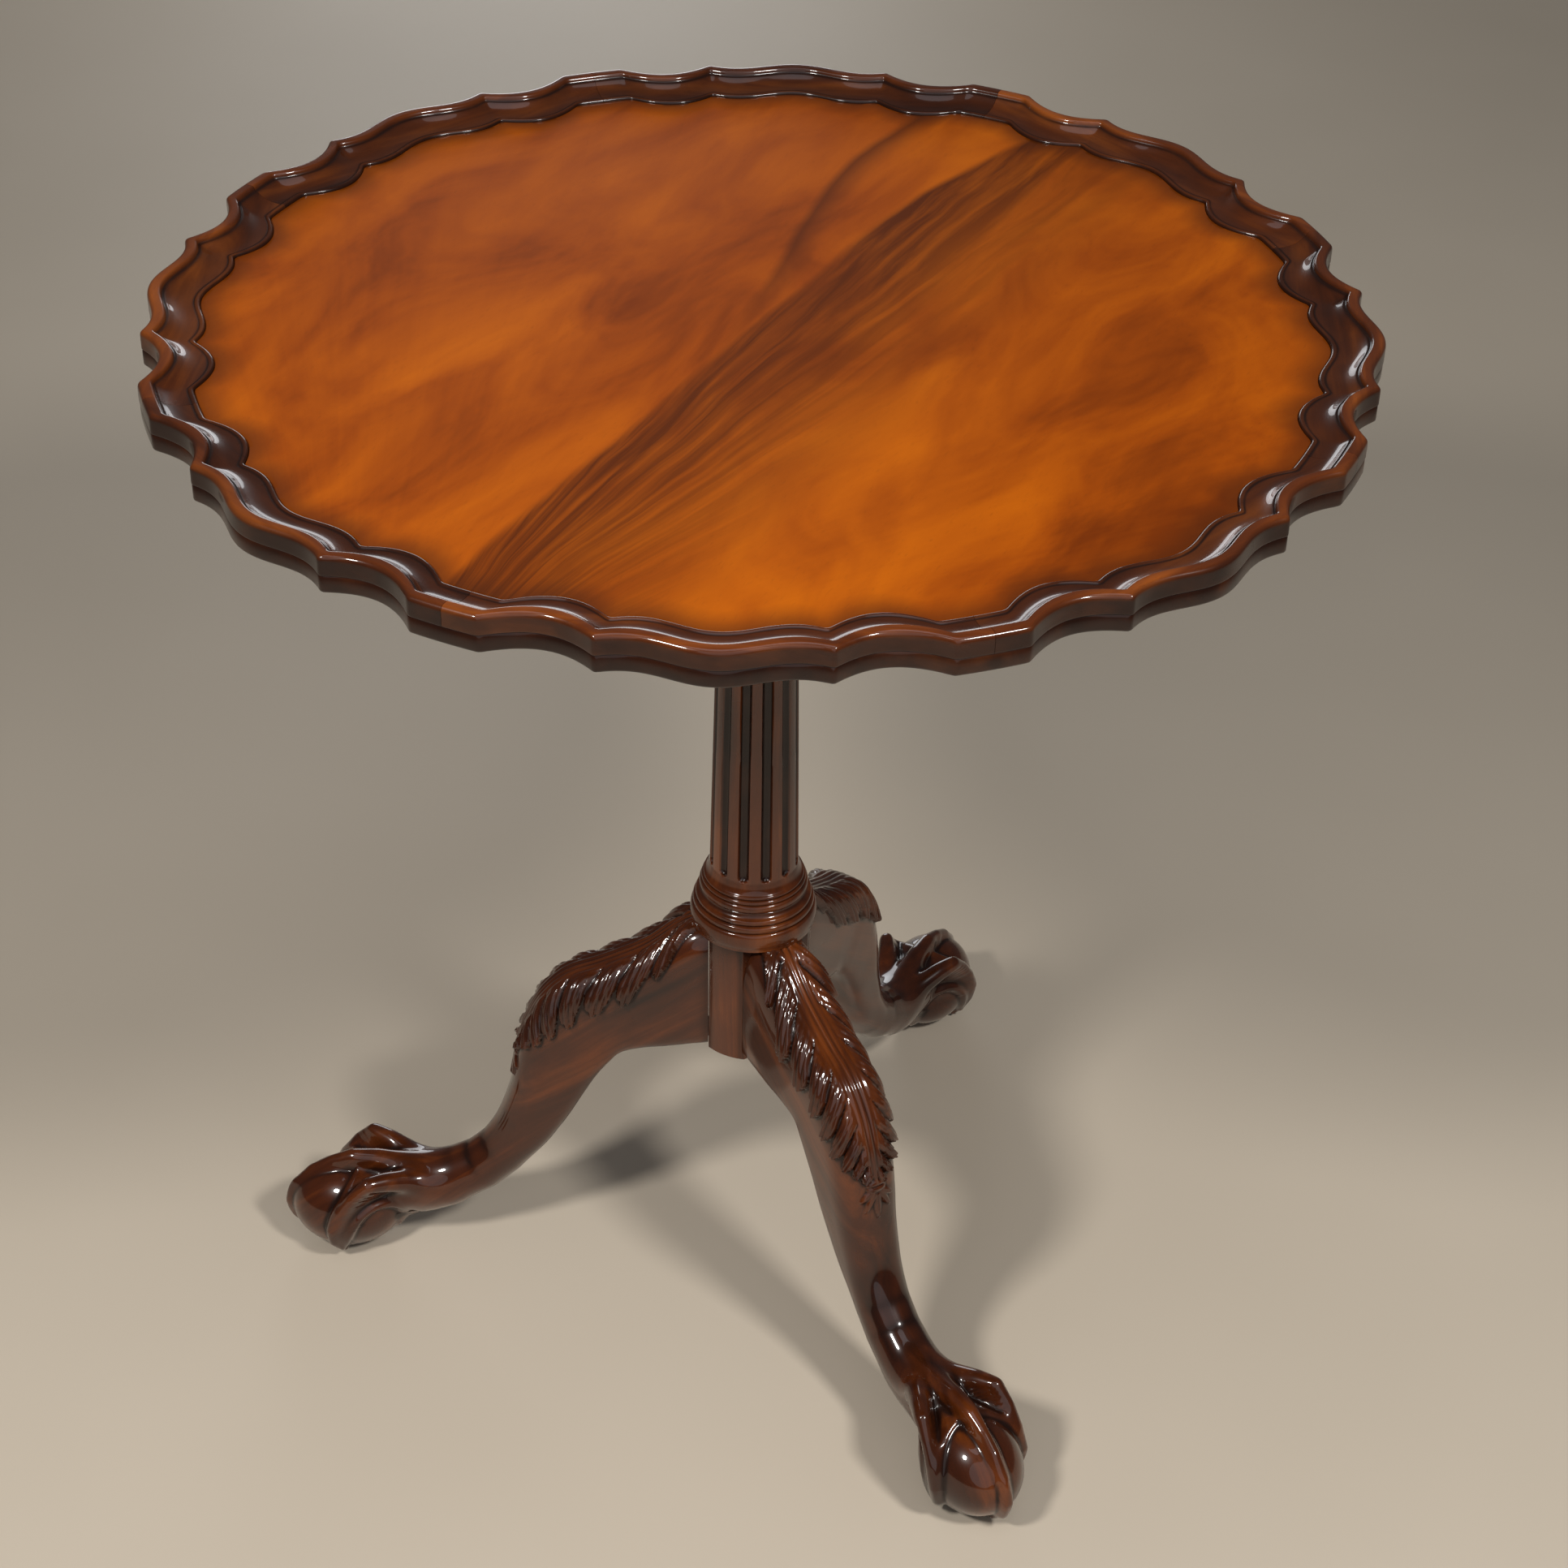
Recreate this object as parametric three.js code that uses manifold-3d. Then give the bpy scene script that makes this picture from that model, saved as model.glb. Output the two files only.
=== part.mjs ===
// Tilt top tea table: a scalloped pie-crust top that tips up on a block over a fluted column and three
// carved cabriole legs. Millimetres, +Z up, origin on the floor under the column. The top tips about an
// axis along X, so that its face ends up facing -Y, between the left and the right leg.
import * as THREE from "three";
import { mergeVertices } from "three/addons/utils/BufferGeometryUtils.js";
import Module from "manifold-3d";

const wasm = await Module();
wasm.setup();

// ---- Driving dimensions ----

const tableHeight = 737; // floor to the top of the rim
const topRadius = 360; // centre to a flat of the rim
const restGap = 0.3; // between pieces that rest on or fit into each other

// The top, from above to below
const rimHeight = 12; // moulded rim, above the glue line round the edge
const boardThickness = 10.5;
const fieldThickness = 2.5; // veneered field panel, inside the rim
const rimWidth = 31; // edge to the inner line of the moulding

// The tilt block, the cleats beside it and the pivots
const blockWidth = 180;
const blockThickness = 45;
const pivotInset = 14; // pivot axis to the underside of the board
const cleatWidth = 22;
const cleatHeight = 28;
const cleatLength = 560;
const cleatEndSlope = 60; // length of the thinned ends
const cleatEndHeight = 12;
const cleatSideGap = 1; // between the block and each cleat
const pinRadius = 5;
const pinInBlock = 34; // depth of the pins in the block

// The column
const hubBottom = 194;
const hubTop = 289; // underside of the lowest ring
const hubRadius = 38.5;
const ringRadius = 42;
const shaftFoot = 337; // where the flutes end, above the rings
const shaftFootRadius = 29.3;
const shaftTopRadius = 23.6;
const capitalHeight = 34; // rings and flare under the block
const capitalRadius = 34;
const tenonRadius = 19; // round tenon through the block
const fluteCount = 12;
const fluteRadius = 3.6;
const wedgeWidth = 3.4;
const wedgeDepth = 24;

// The legs
const footReach = 284; // column axis to the centre of a foot's ball
const ballRadius = 36.5;
const ballCentre = 31.5; // height, so the ball stands on a flat
const clawRadius = 5.2;
const rootHalfWidth = 25;
const dovetailDepth = 14;
const dovetailHalfMouth = 9;
const dovetailHalfHeel = 12;
const dovetailTop = 268; // the sockets stop here, under the rings

// The brace plate under the hub
const plateThickness = 2.5;
const armHalfWidth = 9;
const armReach = 74;

// Screws
const bigScrew = { head: 4.2, shank: 2, cone: 2.4 };
const smallScrew = { head: 2.6, shank: 1.3, cone: 1.4 };
const screwIntoBoard = 7;
const braceScrewLength = 22;

// The snap catch, drawn back and clear of the block
const catchPlate = { width: 60, length: 46, thickness: 2 };
const catchWall = 2;
const catchRearWall = 3;
const catchStandOff = 3.5; // strike plate to the case
const boltSize = { width: 10, height: 7, length: 28, bevel: 4 };
const boltThrow = 8; // shot towards the block from its drawn place
const noseClear = 0.5; // drawn nose to the strike plate
const strikePlate = { width: 42, height: 20, thickness: 1.5 };
const strikeMouthGap = 0.8; // round the bolt
const knobRadius = 6;
const knobHeight = 9.6;
const stemRadius = 2.6;
const springTurns = 5;
const springRadius = 2.6;
const springWire = 0.5;

// ---- Levels and places that follow ----

const boardTop = tableHeight - rimHeight;
const boardBottom = boardTop - boardThickness;
const blockTop = boardBottom - restGap;
const blockBottom = blockTop - blockThickness;
const blockHalf = blockWidth / 2;
const pivotZ = boardBottom - pivotInset;
const pivotY = -blockHalf + pivotInset - restGap;
const cleatInner = blockHalf + cleatSideGap;
const cleatCentreX = cleatInner + cleatWidth / 2;
const cleatBottom = boardBottom - cleatHeight;
const hubFlat = Math.sqrt(hubRadius ** 2 - rootHalfWidth ** 2); // flats that the leg shoulders meet
const shaftHead = blockBottom - capitalHeight;
const legTurns = [90, 210, 330].map((angle) => (angle * Math.PI) / 180);

// ---- Materials ----

const finish = (color, roughness, metalness = 0) =>
  new THREE.MeshStandardMaterial({ color, roughness, metalness });
const darkMahogany = finish(0x4a1f10, 0.2);
const fieldMahogany = finish(0x8a4014, 0.18);
const plainWood = finish(0x6b3b22, 0.6);
const brass = finish(0xb08a45, 0.35, 1);
const blackIron = finish(0x24211f, 0.6, 1);
const springSteel = finish(0x9a9a9a, 0.3, 1);

// ---- Helpers ----

const root = new THREE.Group();

// Adds a mesh under its node name.
function place(name, geometry, material, parent) {
  const mesh = new THREE.Mesh(geometry, material);
  mesh.name = name;
  parent.add(mesh);
  return mesh;
}

// A closed geometry as a solid that can be joined and cut.
function solid(geometry) {
  const plain = geometry.clone();
  plain.deleteAttribute("normal");
  plain.deleteAttribute("uv");
  const merged = mergeVertices(plain, 1e-4);
  return new wasm.Manifold(
    new wasm.Mesh({
      numProp: 3,
      vertProperties: new Float32Array(merged.attributes.position.array),
      triVerts: new Uint32Array(merged.index.array),
    }),
  );
}

// The geometry of a solid, flat shaded.
function geometryOf(body) {
  const mesh = body.getMesh();
  const geometry = new THREE.BufferGeometry();
  geometry.setAttribute("position", new THREE.BufferAttribute(mesh.vertProperties, 3));
  geometry.setIndex(new THREE.BufferAttribute(mesh.triVerts, 1));
  const flat = geometry.toNonIndexed();
  flat.computeVertexNormals();
  return flat;
}

const cut = (geometry, ...cutters) =>
  geometryOf(cutters.reduce((body, cutter) => body.subtract(solid(cutter)), solid(geometry)));

const join = (...geometries) =>
  geometryOf(geometries.map(solid).reduce((body, other) => body.add(other)));

const at = (geometry, x, y, z) => geometry.clone().translate(x, y, z);
const turnedTo = (geometry, angle) => geometry.clone().rotateZ(angle);

// A box between two corners.
function box([x0, y0, z0], [x1, y1, z1]) {
  const geometry = new THREE.BoxGeometry(x1 - x0, y1 - y0, z1 - z0);
  return geometry.translate((x0 + x1) / 2, (y0 + y1) / 2, (z0 + z1) / 2);
}

// A prism of 24 sides along Z between two heights.
function rod(radius, z0, z1) {
  const geometry = new THREE.CylinderGeometry(radius, radius, z1 - z0, 24);
  return geometry.rotateX(Math.PI / 2).translate(0, 0, (z0 + z1) / 2);
}

// A profile of [radius, height] points, from the bottom up, turned about Z.
function turned(profile, sides) {
  const points = profile.map(([r, z]) => new THREE.Vector2(r, z));
  return new THREE.LatheGeometry(points, sides).rotateX(Math.PI / 2);
}

// An outline of [x, y] points, extruded up from z0 to z1.
function slab(outline, z0, z1) {
  const shape = new THREE.Shape(outline.map(([x, y]) => new THREE.Vector2(x, y)));
  const geometry = new THREE.ExtrudeGeometry(shape, { depth: z1 - z0, bevelEnabled: false });
  return geometry.translate(0, 0, z0);
}

// An outline of [y, z] points, extruded along X from x0 to x1.
const slabAlongX = (outline, x0, x1) => slab(outline, x0, x1).rotateX(Math.PI / 2).rotateZ(Math.PI / 2);

// Rings of points, all with the same count, joined into one closed skin with flat ends.
function loft(rings) {
  const sides = rings[0].length;
  const positions = rings.flat().flatMap((p) => [p.x, p.y, p.z]);
  const index = [];
  for (let i = 0; i < rings.length - 1; i++) {
    for (let j = 0; j < sides; j++) {
      const a = i * sides + j;
      const b = i * sides + ((j + 1) % sides);
      index.push(a, b, b + sides, a, b + sides, a + sides);
    }
  }
  const last = (rings.length - 1) * sides;
  for (let j = 1; j < sides - 1; j++) {
    index.push(0, j + 1, j);
    index.push(last, last + j, last + j + 1);
  }
  const geometry = new THREE.BufferGeometry();
  geometry.setAttribute("position", new THREE.BufferAttribute(new Float32Array(positions), 3));
  geometry.setIndex(index);
  return geometry;
}

// A countersunk screw that points up, its head's face at z = 0.
const screw = ({ head, shank, cone }, length) =>
  turned([[0, 0], [head, 0], [shank, cone], [shank, length - 1.5 * shank], [0, length]], 8);

// The clearance hole for such a screw.
function screwHole({ head, shank, cone }, length) {
  const wide = head + restGap;
  const narrow = shank + restGap;
  const end = length + restGap;
  return turned([[0, -wide], [wide, -wide], [wide, 0], [narrow, cone + restGap], [narrow, end], [0, end]], 8);
}

// ---- The scalloped outline ----

const degrees = Math.PI / 180;
const scallops = 8;
const scallopAngle = 360 / scallops;
const scallopTurn = 2.8; // the first flat, from the +X axis
const flatHalfAngle = 3.2;
const cuspAngle = 12.9;
const dipAngle = 15.9;
const bayDepth = 12.7; // of the round bay between the flat and the cusp
const cuspInset = 2.5;
const dipInset = 7.5;
const lobeOut = 0.5; // how far the lobe between two cusps stands outside the flats

// How far the edge lies inside topRadius, by the angle in one scallop.
function edgeInset(angle) {
  const fold = Math.min(angle, scallopAngle - angle);
  if (fold <= flatHalfAngle) return 0;
  if (fold <= cuspAngle) {
    const u = (fold - flatHalfAngle) / (cuspAngle - flatHalfAngle);
    return cuspInset * u + bayDepth * 4 * u * (1 - u);
  }
  if (fold <= dipAngle) {
    const u = (dipAngle - fold) / (dipAngle - cuspAngle);
    return dipInset + (cuspInset - dipInset) * u * u;
  }
  const u = (fold - dipAngle) / (scallopAngle / 2 - dipAngle);
  return dipInset - ((dipInset + lobeOut) * (1 - Math.cos(Math.PI * u))) / 2;
}

// Angles at which one scallop is drawn, from the middle of a flat to the middle of the next.
const bayAngles = [1, 2, 3, 4, 5].map((i) => flatHalfAngle + ((cuspAngle - flatHalfAngle) * i) / 5);
const halfAngles = [0, flatHalfAngle, ...bayAngles, dipAngle, (dipAngle + scallopAngle / 2) / 2];
const scallopAngles = [
  ...halfAngles,
  scallopAngle / 2,
  ...halfAngles.map((angle) => scallopAngle - angle).reverse(),
];

// A point of the outline, at a distance in from the edge.
function outlinePoint(k, angle, inset) {
  const radius = topRadius - edgeInset(angle) - inset;
  const turn = (scallopTurn + k * scallopAngle + angle) * degrees;
  return [radius * Math.cos(turn), radius * Math.sin(turn)];
}

function scallopedOutline(inset) {
  const outline = [];
  for (let k = 0; k < scallops; k++) {
    for (const angle of scallopAngles.slice(0, -1)) outline.push(outlinePoint(k, angle, inset));
  }
  return outline;
}

// ---- The rim, glued up from one segment to each scallop ----

// Section from the glue line up the edge, over the moulding and down: [in from the edge, below the top].
const rimSection = [
  [0.3, rimHeight],
  [0, 1.8],
  [2, 0],
  [7.5, 0.4],
  [10.2, 3.1],
  [17, 6.8],
  [rimWidth - 5, 8.2],
  [rimWidth - 0.8, 9.1],
  [rimWidth - restGap, rimHeight],
];

function rimSegment(k) {
  const endGap = restGap / 2 / topRadius / degrees; // half the gap of a joint, as an angle
  const rings = scallopAngles.map((angle) => {
    const drawn = Math.min(Math.max(angle, endGap), scallopAngle - endGap);
    return rimSection.map(([inset, drop]) => {
      const [x, y] = outlinePoint(k, drawn, inset);
      return new THREE.Vector3(x, y, tableHeight - drop);
    });
  });
  return loft(rings.reverse());
}

// ---- The board and the cleats ----

const cleatScrewLength = cleatHeight + screwIntoBoard;
const cleatHalf = cleatLength / 2;
const cleatScrewYs = [cleatEndSlope - cleatHalf, 30, cleatHalf - cleatEndSlope];
const cleatScrewPlaces = [1, -1].flatMap((side) => cleatScrewYs.map((y) => [side * cleatCentreX, y]));

function cleatGeometry() {
  const profile = [
    [-cleatHalf, boardBottom],
    [-cleatHalf, boardBottom - cleatEndHeight],
    [cleatEndSlope - cleatHalf, cleatBottom],
    [cleatHalf - cleatEndSlope, cleatBottom],
    [cleatHalf, boardBottom - cleatEndHeight],
    [cleatHalf, boardBottom],
  ];
  const bar = slabAlongX(profile, cleatInner, cleatInner + cleatWidth);
  const pinHole = rod(pinRadius + restGap, cleatInner - 1, cleatInner + cleatWidth + 1).rotateY(Math.PI / 2);
  const screws = cleatScrewYs.map((y) =>
    at(screwHole(bigScrew, cleatScrewLength), cleatCentreX, y, cleatBottom),
  );
  return cut(bar, at(pinHole, 0, pivotY, pivotZ), ...screws);
}

// ---- The snap catch ----

const strikeFace = blockHalf + strikePlate.thickness;
const caseFront = strikeFace + catchStandOff;
const caseRear = caseFront + catchPlate.length;
const caseTop = boardBottom - catchPlate.thickness;
const boltTop = caseTop - restGap;
const boltBottom = boltTop - boltSize.height;
const channelBottom = boltBottom - restGap;
const caseBottom = channelBottom - catchWall;
const noseY = strikeFace + noseClear;
const tailY = noseY + boltSize.length;
const stemY = tailY - 2 * stemRadius;
const catchScrewLength = catchPlate.thickness + screwIntoBoard;
const catchScrewX = catchPlate.width / 2 - 7;
const catchScrewPlaces = [caseFront + 8, caseRear - 8].flatMap((y) => [
  [-catchScrewX, y],
  [catchScrewX, y],
]);

const catchScrewHoles = () =>
  catchScrewPlaces.map(([x, y]) => at(screwHole(smallScrew, catchScrewLength), x, y, caseTop));

function boardGeometry() {
  const cleatHoles = cleatScrewPlaces.map(([x, y]) =>
    at(screwHole(bigScrew, cleatScrewLength), x, y, cleatBottom),
  );
  return cut(slab(scallopedOutline(0.3), boardBottom, boardTop), ...cleatHoles, ...catchScrewHoles());
}

function catchCaseGeometry() {
  const plateHalf = catchPlate.width / 2;
  const channelHalf = boltSize.width / 2 + restGap;
  const bodyHalf = channelHalf + catchWall;
  const slotHalf = stemRadius + restGap;
  const slotFront = stemY - boltThrow - slotHalf;
  const rear = caseRear - catchRearWall;
  const plate = box([-plateHalf, caseFront, caseTop], [plateHalf, caseRear, boardBottom]);
  const body = box([-bodyHalf, caseFront, caseBottom], [bodyHalf, caseRear, caseTop]);
  const channel = box([-channelHalf, caseFront - 1, channelBottom], [channelHalf, rear, caseTop]);
  const slot = box([-slotHalf, slotFront, caseBottom - 1], [slotHalf, stemY + slotHalf, channelBottom + 1]);
  return cut(join(plate, body), channel, slot, ...catchScrewHoles());
}

// The nose is bevelled below, so that the strike plate pushes the bolt back as the top comes down.
function boltGeometry() {
  const profile = [
    [noseY, boltTop],
    [noseY, boltBottom + boltSize.bevel],
    [noseY + boltSize.bevel, boltBottom],
    [tailY, boltBottom],
    [tailY, boltTop],
  ];
  return slabAlongX(profile, -boltSize.width / 2, boltSize.width / 2);
}

function knobGeometry() {
  const neck = caseBottom - 1;
  const profile = [
    [0, neck - knobHeight],
    [knobRadius * 0.7, neck - knobHeight * 0.88],
    [knobRadius, neck - knobHeight * 0.5],
    [knobRadius * 0.8, neck - knobHeight * 0.15],
    [stemRadius, neck],
    [stemRadius, boltBottom],
    [0, boltBottom],
  ];
  return at(turned(profile, 16), 0, stemY, 0);
}

function springGeometry() {
  const start = tailY + springWire + restGap;
  const end = caseRear - catchRearWall - springWire - restGap;
  const steps = springTurns * 8;
  const centreZ = (boltTop + boltBottom) / 2;
  const points = [];
  for (let i = 0; i <= steps; i++) {
    const turn = (i / steps) * springTurns * 2 * Math.PI;
    const y = start + ((end - start) * i) / steps;
    const x = springRadius * Math.cos(turn);
    points.push(new THREE.Vector3(x, y, centreZ + springRadius * Math.sin(turn)));
  }
  const wire = new THREE.Shape();
  wire.absarc(0, 0, springWire, 0, 2 * Math.PI);
  const extrudePath = new THREE.CatmullRomCurve3(points);
  return new THREE.ExtrudeGeometry(wire, { steps, curveSegments: 3, extrudePath, bevelEnabled: false });
}

// ---- The tilt block, its strike plate and pivot pins ----

const strikeTop = blockTop;
const strikeBottom = strikeTop - strikePlate.height;
const strikeScrewX = strikePlate.width / 2 - 6;
const strikeScrewZ = (strikeBottom + strikeTop) / 2;
const strikeScrewLength = 14;
const pocketDepth = boltThrow + 4;

// A screw that points up, turned to point along -Y into the block from the strike plate's face.
const intoBlock = (geometry, side) =>
  at(geometry.clone().rotateX(Math.PI / 2), side * strikeScrewX, strikeFace, strikeScrewZ);

const strikeHoles = () => {
  const half = boltSize.width / 2 + strikeMouthGap;
  const low = [-half, blockHalf - pocketDepth, boltBottom - strikeMouthGap];
  const high = [half, strikeFace + 1, boltTop + strikeMouthGap];
  return [
    box(low, high),
    ...[1, -1].map((side) => intoBlock(screwHole(smallScrew, strikeScrewLength), side)),
  ];
};

function blockGeometry() {
  // The edge that turns past the board is rounded about the pivot.
  const profile = new THREE.Shape();
  profile.moveTo(-blockHalf, blockBottom);
  profile.lineTo(blockHalf, blockBottom);
  profile.lineTo(blockHalf, blockTop);
  profile.lineTo(pivotY, blockTop);
  profile.absarc(pivotY, pivotZ, pivotInset - restGap, Math.PI / 2, Math.PI, false);
  profile.closePath();
  const settings = { depth: blockWidth, bevelEnabled: false, curveSegments: 8 };
  const body = new THREE.ExtrudeGeometry(profile, settings);
  body.rotateX(Math.PI / 2).rotateZ(Math.PI / 2).translate(-blockHalf, 0, 0);
  const tenonHole = rod(tenonRadius + restGap, blockBottom - 1, blockTop + 1);
  const pinHole = rod(pinRadius + restGap, 0, pinInBlock + 1).rotateY(Math.PI / 2);
  const pinHoles = [blockHalf - pinInBlock, -blockHalf - 1].map((x) => at(pinHole, x, pivotY, pivotZ));
  return cut(body, tenonHole, ...pinHoles, ...strikeHoles());
}

function strikePlateGeometry() {
  const half = strikePlate.width / 2;
  return cut(box([-half, blockHalf, strikeBottom], [half, strikeFace, strikeTop]), ...strikeHoles());
}

// A pin on the +X side, from inside the block to the cleat's outer face.
function pinGeometry() {
  const pin = rod(pinRadius, blockHalf - pinInBlock + restGap, cleatInner + cleatWidth);
  return at(pin.rotateY(Math.PI / 2), 0, pivotY, pivotZ);
}

// ---- The legs, each drawn pointing along +X ----

const underSlope = 0.135; // fall of the leg's underside beside the hub
const underside = (r) => hubBottom - underSlope * (r - hubFlat);
const rootTop = hubTop - restGap;
const rootFace = hubFlat + restGap;

// Stations down the leg: [upper r, upper z, lower r, lower z, half width, squareness from 0 to 1].
const legStations = [
  [rootFace, rootTop, rootFace, underside(rootFace), rootHalfWidth, 1],
  [45, rootTop - 4.5, 42, underside(42), rootHalfWidth, 0.95],
  [70, rootTop - 24.5, 58, underside(58), rootHalfWidth - 0.5, 0.9],
  [100, 249, 74, underside(74), 23.5, 0.85],
  [124, 239, 88, 183, 22.5, 0.8],
  [140, 223, 99, 175.5, 21.5, 0.75],
  [150, 204, 108, 166, 21, 0.7],
  [157, 185, 115, 154, 20.5, 0.6],
  [162, 163, 121, 141, 20, 0.5],
  [166, 143, 127, 127, 19.5, 0.4],
  [172, 123, 134, 112, 19, 0.3],
  [180, 104, 144, 92, 18.5, 0.2],
  [190, 88, 157, 73, 18, 0.1],
  [204, 75, 174, 54, 18, 0],
  [220, 67, 195, 38.5, 19, 0],
  [footReach - 48, 67, footReach - 67, 27, 20, 0],
  [footReach - 33, 73, footReach - 47, 21, 24, 0],
  [footReach - 18, 77, footReach - 29, 22, 27, 0],
  [footReach - 3, 76, footReach - 6, 30, 24, 0],
];

const ringPoints = 12;

// One ring round the leg: an ellipse where it is round, and nearly a box where it is square.
function legRing([upperR, upperZ, lowerR, lowerZ, halfWidth, square]) {
  const power = 2 / (2 + 7 * square);
  const bulge = (value) => Math.sign(value) * Math.abs(value) ** power;
  const points = [];
  for (let j = 0; j < ringPoints; j++) {
    const angle = ((j + 0.5) / ringPoints) * 2 * Math.PI;
    const up = bulge(Math.sin(angle));
    const r = (upperR + lowerR + up * (upperR - lowerR)) / 2;
    const z = (upperZ + lowerZ + up * (upperZ - lowerZ)) / 2;
    points.push(new THREE.Vector3(r, halfWidth * bulge(Math.cos(angle)), z));
  }
  return points;
}

// The claws' spines from knuckle to tip, as [outward, sideways, height] from under the ball's centre.
const middleClaw = [[-20, 0, 71], [-6, 0, 75], [12, 0, 68], [28, 0, 53], [36, 0, 36], [36, 0, 22], [31, 0, 11]];
const sideClaw = [[-28, 21, 62], [-17, 27, 67], [-5, 31, 60], [6, 34, 49], [9, 36, 34], [7, 35, 21], [2, 31, 10]];

function clawGeometry(spine, side) {
  const points = spine.map(([x, y, z]) => new THREE.Vector3(footReach + x, side * y, z));
  const section = new THREE.Shape();
  section.absarc(0, 0, clawRadius, 0, 2 * Math.PI);
  const extrudePath = new THREE.CatmullRomCurve3(points);
  return new THREE.ExtrudeGeometry(section, { steps: 7, curveSegments: 3, extrudePath, bevelEnabled: false });
}

// The outline of a dovetail, less a clearance all round.
function dovetail(clearance) {
  const heel = dovetailHalfHeel - clearance;
  const mouth = dovetailHalfMouth - clearance;
  const inner = hubFlat - dovetailDepth + clearance;
  const outer = hubFlat + 1;
  return [[inner, -heel], [outer, -mouth], [outer, mouth], [inner, heel]];
}

// ---- The brace plate: an arm under each leg, and a screw into the hub opposite each arm ----

const plateTop = hubBottom - restGap;
const plateBottom = plateTop - plateThickness;
const hubScrewReach = 22;
const legScrewReach = 58;
const armTilt = Math.atan(underSlope);
const legScrewZ = underside(legScrewReach) - restGap - plateThickness;
const onArm = (geometry) => at(geometry.clone().rotateY(armTilt), legScrewReach, 0, legScrewZ);
const onHub = (geometry) => at(geometry, -hubScrewReach, 0, plateBottom);

function armGeometry() {
  const end = underside(armReach) - restGap;
  const profile = [
    [0, plateTop],
    [0, plateBottom],
    [hubFlat, plateBottom],
    [armReach, end - plateThickness],
    [armReach, end],
    [hubFlat, plateTop],
  ];
  return slab(profile, -armHalfWidth, armHalfWidth).rotateX(Math.PI / 2);
}

function bracePlateGeometry() {
  const disc = rod(hubFlat, plateBottom, plateTop);
  const arms = legTurns.map((turn) => turnedTo(armGeometry(), turn));
  const hole = screwHole(bigScrew, braceScrewLength);
  const holes = legTurns.flatMap((turn) => [turnedTo(onArm(hole), turn), turnedTo(onHub(hole), turn)]);
  return cut(join(disc, ...arms), ...holes);
}

function legGeometry() {
  const ball = new THREE.SphereGeometry(ballRadius, 14, 10).rotateX(Math.PI / 2);
  const whole = join(
    loft(legStations.map(legRing)),
    at(ball, footReach, 0, ballCentre),
    clawGeometry(middleClaw, 1),
    clawGeometry(sideClaw, 1),
    clawGeometry(sideClaw, -1),
    slab(dovetail(restGap), hubBottom, dovetailTop),
  );
  const floor = box([0, -100, -100], [500, 100, 0]);
  return cut(whole, floor, onArm(screwHole(bigScrew, braceScrewLength)));
}

// ---- The column ----

// Rings above the hub, as [radius, height above the hub's top].
const baseRings = [
  [hubRadius, 0],
  [ringRadius - 1.4, 0],
  [ringRadius, 4],
  [ringRadius, 9],
  [ringRadius - 2.7, 14.5],
  [ringRadius - 3.2, 19.5],
  [ringRadius - 6.8, 23],
  [ringRadius - 7.2, 26.5],
  [ringRadius - 6.1, 31.5],
  [ringRadius - 7.6, 36],
  [ringRadius - 10.2, 38.5],
];

// The capital under the block, as [radius, height above the shaft's head].
const capitalRings = [
  [shaftTopRadius + 0.4, 2],
  [shaftTopRadius + 3.6, 4.5],
  [shaftTopRadius + 3.6, 8.5],
  [shaftTopRadius + 1, 11],
  [shaftTopRadius + 1.6, 16],
  [capitalRadius - 4, 26],
  [capitalRadius, 29],
  [capitalRadius, capitalHeight],
];

const wedgePlaces = [-8, 8]; // across the tenon
const wedgeHalfLength = 15;

function fluteCutters() {
  const lean = Math.atan2(shaftFootRadius - shaftTopRadius, shaftHead - shaftFoot);
  const length = shaftHead - shaftFoot - 2 * fluteRadius - 8;
  const flute = new THREE.CapsuleGeometry(fluteRadius, length, 1, 6).rotateX(Math.PI / 2).rotateY(-lean);
  flute.translate((shaftFootRadius + shaftTopRadius) / 2, 0, (shaftFoot + shaftHead) / 2);
  const cutters = [];
  for (let k = 0; k < fluteCount; k++) cutters.push(turnedTo(flute, ((k + 0.5) * 2 * Math.PI) / fluteCount));
  return cutters;
}

function columnGeometry() {
  const body = turned([
    [0, hubBottom],
    [hubRadius, hubBottom],
    ...baseRings.map(([r, z]) => [r, hubTop + z]),
    [shaftFootRadius, shaftFoot - 3],
    [shaftTopRadius, shaftHead],
    ...capitalRings.map(([r, z]) => [r, shaftHead + z]),
    [tenonRadius, blockBottom],
    [tenonRadius, blockTop],
    [0, blockTop],
  ], 24);
  const side = rootHalfWidth + 1;
  const flat = box([hubFlat, -side, hubBottom - 1], [hubRadius + 1, side, hubTop]);
  const socket = slab(dovetail(0), hubBottom - 1, dovetailTop + restGap);
  const hole = onHub(screwHole(bigScrew, braceScrewLength));
  const joints = legTurns.flatMap((turn) => [flat, socket, hole].map((cutter) => turnedTo(cutter, turn)));
  const kerfHalf = wedgeWidth / 2 + restGap;
  const kerfs = wedgePlaces.map((x) =>
    box([x - kerfHalf, -tenonRadius - 1, blockTop - wedgeDepth], [x + kerfHalf, tenonRadius + 1, blockTop + 1]),
  );
  return cut(body, ...fluteCutters(), ...joints, ...kerfs);
}

function wedgeGeometry() {
  const half = wedgeWidth / 2;
  const bottom = blockTop - wedgeDepth + restGap;
  const profile = [[-half * 0.4, bottom], [half * 0.4, bottom], [half, blockTop], [-half, blockTop]];
  return slab(profile, -wedgeHalfLength, wedgeHalfLength).rotateX(Math.PI / 2);
}

// ---- The assembly ----

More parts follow.
